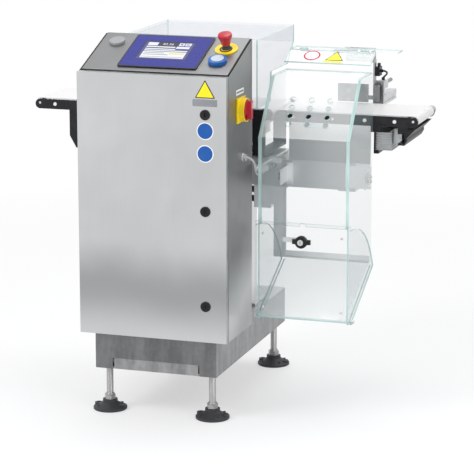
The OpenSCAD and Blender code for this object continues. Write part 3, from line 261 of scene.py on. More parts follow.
def sheet_edge(name, tint):
    """Sawn and polished edge of a clear sheet, which gathers the tint."""
    made = Finish(name, tint, roughness=0.25, IOR=1.45)
    saw = made.noise(240.0, 2.0, (1, 1, 0.3))
    cloud = made.noise(12.0, 3.0)
    made.feed("Base Color", made.mix(made.ramp(cloud, 0.3, 0.7), shade(tint, 0.9), shade(tint, 1.12)))
    made.feed("Alpha", cloud * 0.12 + 0.8)
    made.feed("Normal", made.node("ShaderNodeBump", Height=saw, Strength=0.15, Distance=0.0003))
    return made.material


def glowing(name, color, strength=0.9):
    """A lit field of the display, with faint unevenness."""
    made = Finish(name, shade(color, 0.2), roughness=0.25)
    drift = made.ramp(made.noise(18.0, 2.0), 0.2, 0.8)
    made.feed("Emission Color", made.mix(drift, shade(color, 0.93), color))
    made.surface.inputs["Emission Strength"].default_value = strength
    return made.material


# Distance in metres within which vertices are one
WELD = 1e-5
# Angles in degrees between two faces: up to the first they are one, up to the second they look smooth, and
# from the third their edge is rounded
FLAT = 0.4
SHARP = 35.0
CORNER = 40.0

BODY_OF = {node: body for body, nodes in frame["record"]["behaviour"]["bodies"].items() for node in nodes}
FINISHES = {}


def corners(node):
    """Lowest and highest corner of a node, in millimetres."""
    low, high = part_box(node)
    return Vector(low) / MM, Vector(high) / MM


def middle_of(face):
    """Middle of a face, in millimetres."""
    return face.calc_center_median() / MM


def looks(face, axis, share=0.7):
    """Whether a face looks along an axis, either way."""
    return abs(face.normal[axis]) > share


def smooth(mesh):
    """Smooth shading with sharp edges past an angle."""
    work = bmesh.new()
    work.from_mesh(mesh)
    for face in work.faces:
        face.smooth = True
    for edge in work.edges:
        edge.smooth = len(edge.link_faces) == 2 and edge.calc_face_angle(0.0) < math.radians(SHARP)
    work.to_mesh(mesh)
    work.free()


def finished(work, name, finishes):
    """A new object at the origin from a bmesh whose sizes are metres."""
    mesh = bpy.data.meshes.new(name)
    work.to_mesh(mesh)
    work.free()
    for finish in finishes:
        mesh.materials.append(FINISHES[finish])
    smooth(mesh)
    piece = bpy.data.objects.new(name, mesh)
    bpy.context.scene.collection.objects.link(piece)
    return piece


def settle(work, name, body, finishes):
    """Makes a piece of its own from a bmesh."""
    bmesh.ops.recalc_face_normals(work, faces=work.faces)
    piece = finished(work, name, finishes)
    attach(piece, body)


def dress(node, finishes, edge=0.8, choose=None, carve=None):
    """Makes a merged copy of a node with rounded edges, which stands for it."""
    work = bmesh.new()
    work.from_mesh(frame["nodes"][node].data)
    bmesh.ops.remove_doubles(work, verts=work.verts, dist=WELD)
    bmesh.ops.dissolve_limit(work, angle_limit=math.radians(FLAT), verts=work.verts, edges=work.edges)
    if choose:
        for face in work.faces:
            face.material_index = choose(face)
    if carve:
        carve(work)
    piece = finished(work, "dressed_" + node, finishes)
    if edge:
        bevel = piece.modifiers.new("rounded edges", "BEVEL")
        bevel.width = edge * MM
        bevel.segments = 2
        bevel.limit_method = "ANGLE"
        bevel.angle_limit = math.radians(CORNER)
        bevel.use_clamp_overlap = True
        bevel.harden_normals = True
    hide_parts(node)
    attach(piece, BODY_OF[node])


def by_width(thickness, steel=()):
    """Chooses clear for broad upright faces and the fourth finish, a pale veil of painted reflection on the
    guard and lid, for broad faces that are not upright; edge for narrow ones, and steel inside given boxes.
    """
    narrow = 1.35 * thickness * MM
    slope = 0.2

    def choose(face):
        middle = middle_of(face)
        for low, high in steel:
            if all(low[i] <= middle[i] <= high[i] for i in range(3)):
                return 2
        if face.calc_area() / max(edge.calc_length() for edge in face.edges) < narrow:
            return 1
        return 3 if looks(face, ALONG_Z, slope) else 0

    return choose


def score(work, place, normal):
    """Cuts every face along a plane, and keeps both sides."""
    bmesh.ops.bisect_plane(work, geom=work.verts[:] + work.edges[:] + work.faces[:], dist=1e-6,
                           plane_co=Vector(place) * MM, plane_no=normal)


def banded(node, width):
    """Tints a band along both upright sides of a sheet's faces, as thick sheet shows it."""
    low, high = corners(node)
    left, right = low.x + width, high.x - width

    def carve(work):
        score(work, (left, 0, 0), (1, 0, 0))
        score(work, (right, 0, 0), (1, 0, 0))
        for face in work.faces:
            if not looks(face, ALONG_X, 0.5) and not left < middle_of(face).x < right:
                face.material_index = 1

    return carve


def turned(axis):
    """The rotation that brings z to a direction."""
    return Vector((0, 0, 1)).rotation_difference(Vector(axis)).to_matrix().to_4x4()


def at(work, verts, place, axis):
    """Turns new vertices from z to an axis and moves them to a place in millimetres."""
    bmesh.ops.transform(work, matrix=Matrix.Translation(Vector(place) * MM) @ turned(axis), verts=verts)


def add_head(work, radius, height, rounding, sides):
    """A short upright cylinder on z = 0 with a rounded upper rim, as its vertices."""
    made = bmesh.ops.create_cone(work, cap_ends=True, segments=sides, radius1=radius * MM,
                                 radius2=radius * MM, depth=height * MM)["verts"]
    bmesh.ops.translate(work, verts=made, vec=(0, 0, height * MM / 2))
    if not rounding:
        return set(made)
    rim = {e for v in made for e in v.link_edges if all(x.co.z > height * MM * 0.9 for x in e.verts)}
    out = bmesh.ops.bevel(work, geom=list(rim), offset=rounding * MM, segments=3, profile=0.5,
                          affect="EDGES", material=-1)
    return {v for v in made if v.is_valid} | set(out["verts"])


def add_disc(work, place, axis, radius, height, rounding=0.0, sides=32):
    """A disc or a rod that stands on a place."""
    at(work, list(add_head(work, radius, height, rounding, sides)), place, axis)


def add_screw(work, place, axis, radius, height=2.6, dome=0.35, rim=0.22, socket=0.55):
    """A domed screw head with a round socket, whose rim and depth are shares of its radius and height."""
    made = add_head(work, radius, height, radius * dome, 24)
    cap = max((f for v in made for f in v.link_faces), key=lambda f: f.calc_center_median().z)
    inner = bmesh.ops.inset_region(work, faces=[cap], thickness=radius * rim * MM)
    sunk = bmesh.ops.extrude_face_region(work, geom=[cap])
    floor = [g for g in sunk["geom"] if isinstance(g, bmesh.types.BMVert)]
    bmesh.ops.delete(work, geom=[cap], context="FACES_ONLY")
    bmesh.ops.translate(work, verts=floor, vec=(0, 0, -height * socket * MM))
    made |= {v for f in inner["faces"] for v in f.verts} | set(floor)
    at(work, [v for v in made if v.is_valid], place, axis)


def add_plate(work, outline, thickness, matrix, index=0, corner=0.0):
    """A flat plate from an outline in millimetres, raised from its local z = 0."""
    verts = [work.verts.new((x * MM, y * MM, 0)) for x, y in outline]
    face = work.faces.new(verts)
    if corner:
        bmesh.ops.bevel(work, geom=verts, offset=corner * MM, segments=6, profile=0.5, affect="VERTICES",
                        material=-1)
        face = [f for f in work.faces if f.is_valid][-1]
    grown = bmesh.ops.extrude_face_region(work, geom=[face])
    top = [g for g in grown["geom"] if isinstance(g, bmesh.types.BMVert)]
    bmesh.ops.translate(work, verts=top, vec=(0, 0, thickness * MM))
    plate = {face} | {f for v in top for f in v.link_faces}
    for part in plate:
        part.material_index = index
    bmesh.ops.transform(work, matrix=matrix, verts=list({v for part in plate for v in part.verts}))


def plates(name, body, finishes, slot, *parts):
    """A piece of flat plates, each by its outline, thickness, frame, finish's number and corner."""
    work = bmesh.new()
    for part in parts:
        add_plate(work, *part)
    settle(work, name, body, finishes)


def rectangle(width, height):
    """Outline of a rectangle round the origin."""
    x, y = width / 2, height / 2
    return [(-x, -y), (x, -y), (x, y), (-x, y)]


def triangle(side, inset=0.0):
    """Outline of an upright triangle whose base runs along y = 0."""
    half = side / 2 - inset * math.sqrt(3)
    return [(-half, inset), (half, inset), (0, side * math.sqrt(3) / 2 - 2 * inset)]


def ring(radius, sides=64):
    """Outline of a circle."""
    return [(radius * math.cos(2 * math.pi * i / sides), radius * math.sin(2 * math.pi * i / sides))
            for i in range(sides)]


def plane(place, right, up):
    """A local frame at a place in millimetres, with x and y along two directions."""
    right, up = Vector(right).normalized(), Vector(up).normalized()
    turn = Matrix((right, up, right.cross(up))).transposed().to_4x4()
    return Matrix.Translation(Vector(place) * MM) @ turn


CONSOLE_SLOPE = math.radians(20.2)
CONSOLE_EDGE = Vector((0.0, -344.0, 1019.0))
CONSOLE_UP = Vector((0.0, math.cos(CONSOLE_SLOPE), math.sin(CONSOLE_SLOPE)))
CONSOLE_OUT = Vector((0.0, -math.sin(CONSOLE_SLOPE), math.cos(CONSOLE_SLOPE)))
DOOR_FACE = corners("cabinet_door")[0].y


def console(x, along, above=0.0):
    """A local frame on the sloped console."""
    place = CONSOLE_EDGE + Vector((x, 0, 0)) + CONSOLE_UP * along + CONSOLE_OUT * above
    return plane(place, (1, 0, 0), CONSOLE_UP)


def door(x, z, above=0.0):
    """A local frame on the door."""
    return plane((x, DOOR_FACE - above, z), (1, 0, 0), (0, 0, 1))


def swatch(name, description, color):
    """A colour that a user can set."""
    return bpy.props.FloatVectorProperty(name=name, description=description, subtype="COLOR", size=3,
                                         default=color, min=0, max=1)


def measure(name, description, value):
    """A length in millimetres that a user can set."""
    return bpy.props.FloatProperty(name=name, description=description + ", in millimetres", default=value)


class CheckweigherFinishes(bpy.types.PropertyGroup):
    """Colours and roughness of the finishes."""

    steel: swatch("Steel", "Colour of the ground stainless sheet", (0.47, 0.475, 0.48))
    steel_roughness: bpy.props.FloatProperty(
        name="Steel roughness", description="Roughness of the ground sheet", default=0.36, min=0, max=1)
    clear: swatch("Clear sheet", "Tint of the upright clear sheets", (0.42, 0.5, 0.52))
    # The pale veil on clear faces that are not upright is a painted reflection
    clear_lit: swatch("Sloped clear sheet", "Veil of the clear sheets that face up", (0.92, 0.95, 0.96))
    canopy: swatch("Canopy sheet", "Tint of the canopy's sheets", (0.5, 0.54, 0.62))
    edge: swatch("Sheet edge", "Tint of the edges of the clear sheets", (0.45, 0.62, 0.6))
    frame_black: swatch("Belt frames", "Colour of the belt frames", (0.012, 0.012, 0.014))
    yellow: swatch("Yellow", "Colour of the yellow plates", (0.86, 0.62, 0.0))
    red: swatch("Red", "Colour of the red handles", (0.42, 0.012, 0.028))
    blue: swatch("Blue", "Colour of the push button's ring", (0.006, 0.1, 0.36))
    overlay: swatch("Screen surround", "Colour of the overlay round the display", (0.028, 0.032, 0.22))


class CheckweigherSigns(bpy.types.PropertyGroup):
    """Sizes of the bare sign plates."""

    triangle_side: measure("Triangle", "Side of the triangular plate on the door", 60.0)
    disc: measure("Disc", "Diameter of the round plates on the door", 50.0)
    thickness: measure("Thickness", "Thickness of a plate on the cabinet", 0.5)
    lid_thickness: measure("Lid thickness", "Thickness of a plate on the lid", 0.4)
    lid_triangle: measure("Lid triangle", "Side of the triangular plate on the lid", 56.0)
    lid_ring: measure("Lid ring", "Diameter of the ring plate on the lid", 50.0)


class CheckweigherStage(bpy.types.PropertyGroup):
    """Camera and lights."""

    lens: measure("Lens", "Focal length of the camera", 168.3)
    key_power: bpy.props.FloatProperty(
        name="Key light", description="Power of the key light", default=150.0, subtype="POWER")
    fill_power: bpy.props.FloatProperty(
        name="Fill light", description="Power of the fill light", default=60.0, subtype="POWER")
    sky: bpy.props.FloatProperty(
        name="Sky", description="Strength of the light from all round", default=0.55)


# Ground sheet: share of the steel's tone, as lighter and darker copies of one steel that paint light and
# shade part by part, direction of the lines, their depth, painted bands of reflected light and shade, and
# lean
STEELS = {
    # The door's dark band is a painted reflection, and the side's and the panel's pale bands are painted
    # reflected light
    "steel_door": (1.2, ALONG_Z, 0.12, [(0.385, 0.15, -0.4)]),
    "steel_upright": (1.0, ALONG_Z, 0.15),
    "steel_side": (0.6, ALONG_Z, 0.12, [(0.49, 0.17, 0.9), (0.24, 0.2, 0.45)], -0.5),
    "steel_along": (1.0, ALONG_X, 0.15),
    "steel_deep": (1.02, ALONG_Y, 0.15),
    "steel_beam": (1.35, ALONG_X, 0.15),
    "steel_column": (1.4, ALONG_Z, 0.15),
    "steel_bracket": (1.75, ALONG_X, 0.15),
    "steel_panel": (1.1, ALONG_X, 0.12, [(0.835, 0.06, 0.4)]),
    "steel_console": (0.56, ALONG_X, 0.12),
}
# Turned, drawn or cast metal: colour and roughness
METALS = {
    "leg_pale": ((0.92, 0.94, 0.96), 0.35),
    "steel_pale": ((0.68, 0.69, 0.7), 0.28),
    "steel_dull": ((0.4, 0.405, 0.41), 0.34),
    "steel_bright": ((0.66, 0.66, 0.65), 0.2),
    "cast": ((0.55, 0.56, 0.57), 0.42),
    "anodised": ((0.6, 0.61, 0.63), 0.33),
    "nickel": ((0.74, 0.74, 0.73), 0.22),
    "label": ((0.3, 0.31, 0.33), 0.45),
}
# Plastic, rubber and glass: colour, roughness, shine, grain, its depth and coat
PLASTICS = {
    "pad_black": ((0.028, 0.029, 0.032), 0.5, 0.4),
    "lock_black": ((0.005, 0.005, 0.006), 0.3, 0.3),
    "rubber": ((0.01, 0.01, 0.01), 0.7, 0.2, 500.0),
    "cable": ((0.5, 0.51, 0.53), 0.5, 0.3, 600.0),
    "cap_grey": ((0.27, 0.28, 0.29), 0.35),
    "cap_white": ((0.8, 0.8, 0.79), 0.3),
    "sign_blue": ((0.006, 0.085, 0.34), 0.4, 0.3, 900.0, 0.05),
    "sign_yellow": ((0.86, 0.72, 0.02), 0.4, 0.3, 900.0, 0.05),
    "sign_black": ((0.01, 0.01, 0.01), 0.4, 0.2, 900.0, 0.05),
    "sign_white": ((0.82, 0.84, 0.85), 0.4, 0.5, 900.0, 0.05),
    "sign_red": ((0.5, 0.012, 0.05), 0.4, 0.3, 900.0, 0.05),
    "lens_pale": ((0.42, 0.5, 0.58), 0.12, 0.5, 300.0, 0.05, 0.6),
    "rail_box": ((0.52, 0.53, 0.55), 0.45),
    "box_pale": ((0.76, 0.77, 0.79), 0.45),
    "dark_box": ((0.05, 0.053, 0.058), 0.45),
    "bezel_rim": ((0.01, 0.01, 0.014), 0.3, 0.3),
    "glass": ((0.015, 0.02, 0.05), 0.08, 0.5, 300.0, 0.02, 1.0),
}
# Lit fields of the display: colour and strength
LIGHTS = {
    "lit_blue": ((0.045, 0.05, 0.27), 0.9),
    "lit_navy": ((0.008, 0.01, 0.05), 0.9),
    "lit_white": ((0.74, 0.76, 0.78), 0.9),
    "lit_grey": ((0.16, 0.18, 0.22), 0.8),
    "lit_yellow": ((0.74, 0.66, 0.3), 0.9),
}


class BuildFinishes(bpy.types.Operator):
    """Makes every finish of the checkweigher."""

    bl_idname = "checkweigher.finishes"
    bl_label = "Make the finishes"

    def execute(self, context):
        look = context.scene.checkweigher_finishes
        steel = tuple(look.steel)
        for name, (share, along, *rest) in STEELS.items():
            FINISHES[name] = brushed(name, shade(steel, share), along, look.steel_roughness, *rest)
        self.add(ground, METALS)
        self.add(moulded, PLASTICS)
        self.add(glowing, LIGHTS)
        # Lighter and darker copies of one pickled steel: plinth_front paints shade on the front, plinth_side
        # paints light on the sides
        self.add(pickled, {"plinth_front": (shade(steel, 0.36),), "plinth_side": (shade(steel, 0.62),)})
        self.add(threaded, {"steel_thread": ((0.5, 0.5, 0.5),)})
        self.add(moulded, {
            "yellow": (tuple(look.yellow), 0.32, 0.5, 700.0), "red": (tuple(look.red), 0.3, 0.4, 700.0),
            "blue": (tuple(look.blue), 0.35, 0.4, 700.0),
        })
        self.add(painted, {
            "unit_grey": ((0.2, 0.21, 0.22),), "bezel_blue": (tuple(look.overlay), 0.3, 0.15),
            "frame_black": (tuple(look.frame_black), 0.42, 0.25),
        })
        self.add(belt_cloth, {"belt": ((0.7, 0.7, 0.695),)})
        self.add(clear_sheet, {
            "clear": (tuple(look.clear), 0.07, 0.17), "clear_lit": (tuple(look.clear_lit), 0.2, 0.4),
            "canopy_sheet": (tuple(look.canopy), 0.12, 0.3),
        })
        self.add(sheet_edge, {"edge": (tuple(look.edge),)})
        return {"FINISHED"}

    @staticmethod
    def add(maker, table):
        """Makes one finish for each line of a table."""
        for name, values in table.items():
            FINISHES[name] = maker(name, *values)


# Nodes that have one finish, by that finish and the rounding of their edges in millimetres
PLAIN = {
    ("steel_console", 0.6): "console_panel",
    ("rubber", 0.6): "door_seal",
    ("steel_bright", 0.2): "hinge_pins",
    ("steel_bright", 0.3): "estop_stem infeed_roller infeed_drive weigh_roller weigh_drive outfeed_roller "
                           "outfeed_drive",
    ("unit_grey", 1.0): "control_unit",
    ("glass", 0.2): "screen_glass",
    ("yellow", 0.8): "estop_base",
    ("yellow", 0.9): "isolator_plate",
    ("red", 0.5): "estop_button",
    ("red", 1.5): "isolator_knob",
    ("blue", 1.0): "reset_bezel",
    ("lens_pale", 1.2): "reset_lens",
    ("nickel", 0.6): "cable_glands",
    ("steel_pale", 0.4): "mount_plate slider_beds canopy_hinges",
    ("steel_pale", 0.5): "flap_key",
    ("rail_box", 0.8): "rail_devices",
    ("dark_box", 1.0): "motor_drives",
    ("steel_column", 1.2): "columns",
    ("steel_beam", 1.2): "beam_housing",
    ("anodised", 0.8): "load_cell",
    ("anodised", 0.5): "push_cylinder",
    ("frame_black", 0.7): "infeed_frame weigh_frame",
    ("belt", 0.0): "belts",
    ("cast", 0.8): "conveyor_motors",
    ("cap_white", 0.6): "screw_caps",
    ("steel_deep", 0.5): "pusher_bracket",
    ("steel_bracket", 0.5): "guard_brackets",
    ("plinth_side", 0.5): "push_plate",
    ("lock_black", 0.4): "air_valve lock_core_1 lock_core_2 lock_core_3",
    ("lock_black", 0.8): "light_barrier lock_housings",
    ("lock_black", 1.2): "flap_lock",
    ("pad_black", 0.8): "foot_pads",
}


# Where a node's finishes part, in millimetres from its corners
# Width of the painted highlight along the shell's front edges
FLANGE_DEPTH = 11.0
PLINTH_RETURN = (2.0, 12.0)
GLAND_REACH = 66.2
THREAD_START = 22.0
PRINT_INSET = 4.5
PRINT_REACH = 0.2
PLATE_RIM = 3.5
PLATE_THICKNESS = 5.9
PANEL_DEPTH = 9.5
LEG_END = 57.0


class BuildDressedNodes(bpy.types.Operator):
    """Rounds the edges of the metal and plastic pieces and gives them their finishes."""

    bl_idname = "checkweigher.dressed"
    bl_label = "Dress the solid pieces"

    def execute(self, context):
        for (finish, edge), nodes in PLAIN.items():
            for node in nodes.split():
                dress(node, [finish], edge)
        dress("outfeed_frame", ["frame_black", "leg_pale", "steel_panel"], 0.6, self.outfeed)
        dress("junction_box", ["box_pale", "pad_black"], 1.2, self.gland)
        # The door's side faces take the darker steel_dull as painted shade
        dress("cabinet_door", ["steel_door", "steel_dull"], 1.2, lambda face: looks(face, ALONG_X))
        dress("cabinet_shell", ["steel_upright", "steel_side", "rubber", "steel_bright"], 0.8, self.shell,
              carve=self.flange)
        dress("console_caps", ["cap_grey", "pad_black"], 0.8, lambda face: middle_of(face).x > 0)
        dress("plinth_frame", ["plinth_front", "plinth_side", "steel_along"], 1.6, self.plinth)
        dress("foot_stems", ["steel_dull", "steel_thread"], 0.5, self.thread)
        dress("screen_bezel", ["bezel_rim", "bezel_blue"], 0.8, carve=self.overlay)
        return {"FINISHED"}

    @staticmethod
    def plinth(face):
        """Darker front as painted shade, and the paler copy of the same steel as painted light on the side
        and on the strip behind the cut in the front and rear walls.
        """
        low, high = corners("plinth_frame")
        near, far = PLINTH_RETURN
        y = middle_of(face).y
        behind = low.y + near < y < low.y + far or high.y - far < y < high.y - near
        if looks(face, ALONG_Z):
            return 2
        return 1 if looks(face, ALONG_X) or behind else 0

    @staticmethod
    def shell(face):
        """Darker sides as painted shade, and a dark joint where the console panel lies on the shell."""
        return 2 if face.normal.dot(CONSOLE_OUT) > 0.95 else int(looks(face, ALONG_X))

    @staticmethod
    def flange(work):
        """Bright steel painted as a highlight on the side walls' front edges, where they meet the door."""
        front = corners("cabinet_shell")[0].y + FLANGE_DEPTH
        score(work, (0, front, 0), (0, 1, 0))
        for face in work.faces:
            if looks(face, ALONG_X) and middle_of(face).y < front:
                face.material_index = 3

    @staticmethod
    def gland(face):
        """Black glands on the junction box's side."""
        return middle_of(face).x < corners("junction_box")[1].x - GLAND_REACH

    @staticmethod
    def thread(face):
        """Thread on the round rods, and dull steel on nuts and flat faces."""
        low, high = corners("foot_stems")
        return int(not looks(face, ALONG_Z, 0.3) and low.z + THREAD_START < middle_of(face).z < high.z)

    @staticmethod
    def overlay(work):
        """A blue printed field inset in the bezel's face."""
        level = [face for face in work.faces if face.normal.dot(CONSOLE_OUT) > 0.99]
        top = max(middle_of(face).dot(CONSOLE_OUT) for face in level)
        faces = [face for face in level if middle_of(face).dot(CONSOLE_OUT) > top - PRINT_REACH]
        bmesh.ops.inset_region(work, faces=faces, thickness=PRINT_INSET * MM)
        for face in faces:
            face.material_index = 1

    @staticmethod
    def outfeed(face):
        """Pale leg and side panel between the black plates."""
        low, high = corners("outfeed_frame")
        guard = corners("guard_front")
        middle = middle_of(face)
        if middle.z > high.z - PLATE_RIM:
            return 0
        inside = low.y + PLATE_THICKNESS < middle.y < high.y - PLATE_THICKNESS
        panel = inside and middle.y < low.y + PANEL_DEPTH and middle.x < guard[1].x
        leg_end = guard[0].x + LEG_END
        return 2 if panel and middle.x > leg_end else int(inside and middle.x < leg_end)


def fittings(node, left, right, y, z):
    """Boxes round the metal at a sheet's two ends, with x spans from each end and shared y and z spans."""
    low, high = corners(node)
    return [((end + span[0], y[0], z[0]), (end + span[1], y[1], z[1]))
            for end, span in ((low.x, left), (high.x, right))]


class BuildClearSheets(bpy.types.Operator):
    """Makes the clear guard, bin flap, lid and canopy with tinted edges."""

    bl_idname = "checkweigher.clear_sheets"
    bl_label = "Make the clear sheets"

    thickness: measure("Sheet", "Thickness of a sheet", 5.0)
    band: measure("Band", "Width of the tint beside the guard's and canopy's corners", 4.5)

    def execute(self, context):
        clear = ["clear", "edge", "steel_pale", "clear_lit"]
        thick = self.thickness
        pins = fittings("guard_body", (-1, 12.9), (-12.9, 1), (-229, -213), (292, 308))
        clamp_top = corners("lid_top")[0].z + 7.4
        clamps = fittings("lid_top", (29, 56), (-112, -85), (-100, 150), (1000, clamp_top))
        knuckles = fittings("guard_lid", (20, 64), (-57, -12), (80.8, 120), (1030, 1060))
        hinges = fittings("canopy_cover", (38, 92), (-92, -38), (-130, -103.5), (1080, 1094))
        dress("guard_body", clear, 0.35, by_width(thick, pins))
        dress("guard_front", clear, 0.35, by_width(thick), banded("guard_front", self.band))
        dress("bin_flap", clear, 0.35, by_width(thick))
        dress("lid_top", ["clear", "edge", "lock_black", "clear_lit"], 0.35, by_width(thick, clamps))
        dress("guard_lid", clear, 0.3, by_width(thick, knuckles))
        dress("canopy_cover", ["canopy_sheet", "edge", "steel_pale", "canopy_sheet"], 0.35,
              by_width(thick, hinges), banded("canopy_cover", self.band))
        return {"FINISHED"}


# The lid's slope in degrees, and its hinge's y and z and its surface over that in millimetres
LID_SLOPE = 25.0
LID_HINGE = (89.53, 1041.16)
LID_SURFACE = 3.0
# Places on the lid by x and by how far down from the hinge
LID_RING = (352, 38)
LID_TRIANGLE = (424, 60)
LID_STRIP = (421, 67)
# Width and height of the flat plates
DOOR_LABEL = (73, 20)
SIDE_LABEL = (68, 15)
SIDE_BAR = (58, 6)
STRIP = (56, 9)


class BuildSigns(bpy.types.Operator):
    """Makes the bare sign plates on the door, the side wall and the lid."""

    bl_idname = "checkweigher.signs"
    bl_label = "Make the sign plates"

    lock_radius: measure("Lock radius", "From a lock core's left side to its middle", 8.0)
    triangle_z: measure("Triangle height", "Height of the door triangle's base", 954.5)
    label_z: measure("Label height", "Height of the middle of the door's label", 941.0)
    upper_z: measure("Upper disc", "Height of the middle of the door's upper disc", 861.0)
    lower_z: measure("Lower disc", "Height of the middle of the door's lower disc", 796.0)
    rim: measure("Rim", "Width of the rim round a disc's or a triangle's field", 2.6)
    field: measure("Print", "Thickness of a coloured field on a plate", 0.25)
    band: measure("Band", "Width of the lid ring's red band", 5.0)
    bar: measure("Bar", "Thickness of the fields on the side label and the ring", 0.2)
    side_lift: measure("Side label", "Height of the side label's middle over the isolator", 16.0)

    def execute(self, context):
        sizes = context.scene.checkweigher_signs
        thin = sizes.thickness
        column = corners("lock_core_1")[0].x + self.lock_radius
        self.triangle("door_triangle", "door", door(column, self.triangle_z), sizes.triangle_side, thin)
        plates("door_label", "door", ["label"], "bright_steel",
               (rectangle(*DOOR_LABEL), thin, door(column - 0.5, self.label_z), 0, 2.0))
        for name, z in (("upper", self.upper_z), ("lower", self.lower_z)):
            plates("door_disc_" + name, "door", ["sign_white", "sign_blue"], "blue_plastic",
                   (ring(sizes.disc / 2), thin, door(column, z)),
                   (ring(sizes.disc / 2 - self.rim), self.field, door(column, z, thin), 1))
        self.side(thin)
        self.lid(sizes)
        return {"FINISHED"}

    def side(self, thin):
        """Pale label over the isolator on the side wall, with a grey bar where its words would be."""
        low, high = corners("isolator_plate")
        middle = Vector((corners("cabinet_shell")[1].x, (low.y + high.y) / 2 - 4, high.z + self.side_lift))
        face, front = (plane(middle + Vector((out, 0, 0)), (0, 1, 0), (0, 0, 1)) for out in (0, thin))
        plates("side_label", "frame", ["sign_white", "label"], "white_plastic",
               (rectangle(*SIDE_LABEL), thin, face, 0, 1.5), (rectangle(*SIDE_BAR), self.bar, front, 1))

    def triangle(self, name, body, matrix, side, thin):
        """A yellow triangle with a dark rim."""
        front = matrix @ Matrix.Translation((0, 0, thin * MM))
        plates(name, body, ["sign_black", "sign_yellow"], "yellow_plastic",
               (triangle(side), thin, matrix, 0, 3.0), (triangle(side, self.rim), self.field, front, 1, 1.6))

    def lid(self, sizes):
        """Ring, triangle and strip plates on the sloped lid."""
        slope = math.radians(LID_SLOPE)
        along = Vector((0, math.cos(slope), math.sin(slope)))
        hinge = Vector((0, *LID_HINGE))
        above = Vector((0, -math.sin(slope), math.cos(slope))) * LID_SURFACE
        thin = sizes.lid_thickness

        def spot(x, down):
            return plane(hinge + Vector((x, 0, 0)) - along * down + above, (1, 0, 0), along)

        face = spot(*LID_RING)
        front = face @ Matrix.Translation((0, 0, thin * MM))
        plates("lid_ring", "lid", ["sign_red", "sign_white"], "red_plastic",
               (ring(sizes.lid_ring / 2), thin, face),
               (ring(sizes.lid_ring / 2 - self.band), self.bar, front, 1))
        self.triangle("lid_triangle", "lid", spot(*LID_TRIANGLE), sizes.lid_triangle, thin)
        plates("lid_strip", "lid", ["sign_yellow"], "yellow_plastic",
               (rectangle(*STRIP), thin, spot(*LID_STRIP), 0, 1.0))


class BuildScreen(bpy.types.Operator):
    """Makes the lit fields of the display."""

    bl_idname = "checkweigher.screen"
    bl_label = "Make the display"

    width: measure("Width", "Lit width", 146.0)
    height: measure("Height", "Lit height", 103.0)
    surface: measure("Surface", "Height of the glass over the console", 3.5)
    middle_x: measure("Middle", "Place of the display's middle along x", -4.0)
    middle_y: measure("Middle along", "Place of the display's middle up the console", 121.0)
    film: measure("Film", "Thickness of a field", 0.05)
    step: measure("Step", "Rise from one field to the next", 0.03)
    digits: bpy.props.StringProperty(name="Reading", description="Number in the main field", default="82.36")
    digit_size: measure("Digits", "Size of the number's letters", 15.0)
    digit_depth: measure("Digits' depth", "Half the thickness of the number's letters", 0.03)
    digit_lift: measure("Digits' height", "Height of the number over the glass", 0.24)

    def fields(self):
        """Each field's finish and its left, right, low and high side, back ones first."""
        wide, tall = self.width, self.height
        left, right = -wide * 0.45, wide * 0.45
        return [
            ("lit_blue", -wide / 2, wide / 2, -tall / 2, tall / 2), ("lit_white", left, left + 30, 30, 48),
            ("lit_navy", left + 32, 27, 26, 52), ("lit_white", 29, 45, 32, 48),
            ("lit_white", 48, right, 32, 48), ("lit_grey", 33, 41, 36, 44),
            ("lit_grey", 51, 61, 37, 43), ("lit_white", left, 22, 18, 25),
            ("lit_navy", left, 22, 12, 18), ("lit_white", 26, right, 14, 26), ("lit_white", left, 26, 6, 12),
            ("lit_white", left, right, -46, 2), ("lit_grey", left, right, -8, -4),
            ("lit_grey", left + 4, 0, -17, -14), ("lit_grey", left + 4, 14, -27, -24),
            ("lit_yellow", 14, right - 4, -22, -13), ("lit_grey", left + 4, right - 4, -40, -38),
        ]

    def execute(self, context):
        fields = self.fields()
        finishes = sorted({field[0] for field in fields})
        work = bmesh.new()
        for depth, (finish, x0, x1, y0, y1) in enumerate(fields):
            x, y = (x0 + x1) / 2 + self.middle_x, (y0 + y1) / 2 + self.middle_y
            place = console(x, y, self.surface + self.film + self.step * depth)
            add_plate(work, rectangle(x1 - x0, y1 - y0), self.film, place, finishes.index(finish))
        settle(work, "display_fields", "frame", finishes)
        self.reading()
        return {"FINISHED"}

    def reading(self):
        """The weight shown in the main field."""
        curve = bpy.data.curves.new("reading", "FONT")
        curve.body = self.digits
        curve.size = self.digit_size * MM
        curve.extrude = self.digit_depth * MM
        curve.align_x = "CENTER"
        curve.align_y = "CENTER"
        text = bpy.data.objects.new("reading", curve)
        bpy.context.scene.collection.objects.link(text)
        bpy.context.view_layer.update()
        mesh = bpy.data.meshes.new_from_object(text)
        bpy.data.objects.remove(text)
        mesh.transform(console(self.middle_x - 4, self.middle_y + 39, self.surface + self.digit_lift))
        mesh.materials.clear()
        mesh.materials.append(FINISHES["lit_white"])
        piece = bpy.data.objects.new("display_reading", mesh)
        bpy.context.scene.collection.objects.link(piece)
        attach(piece, "frame")


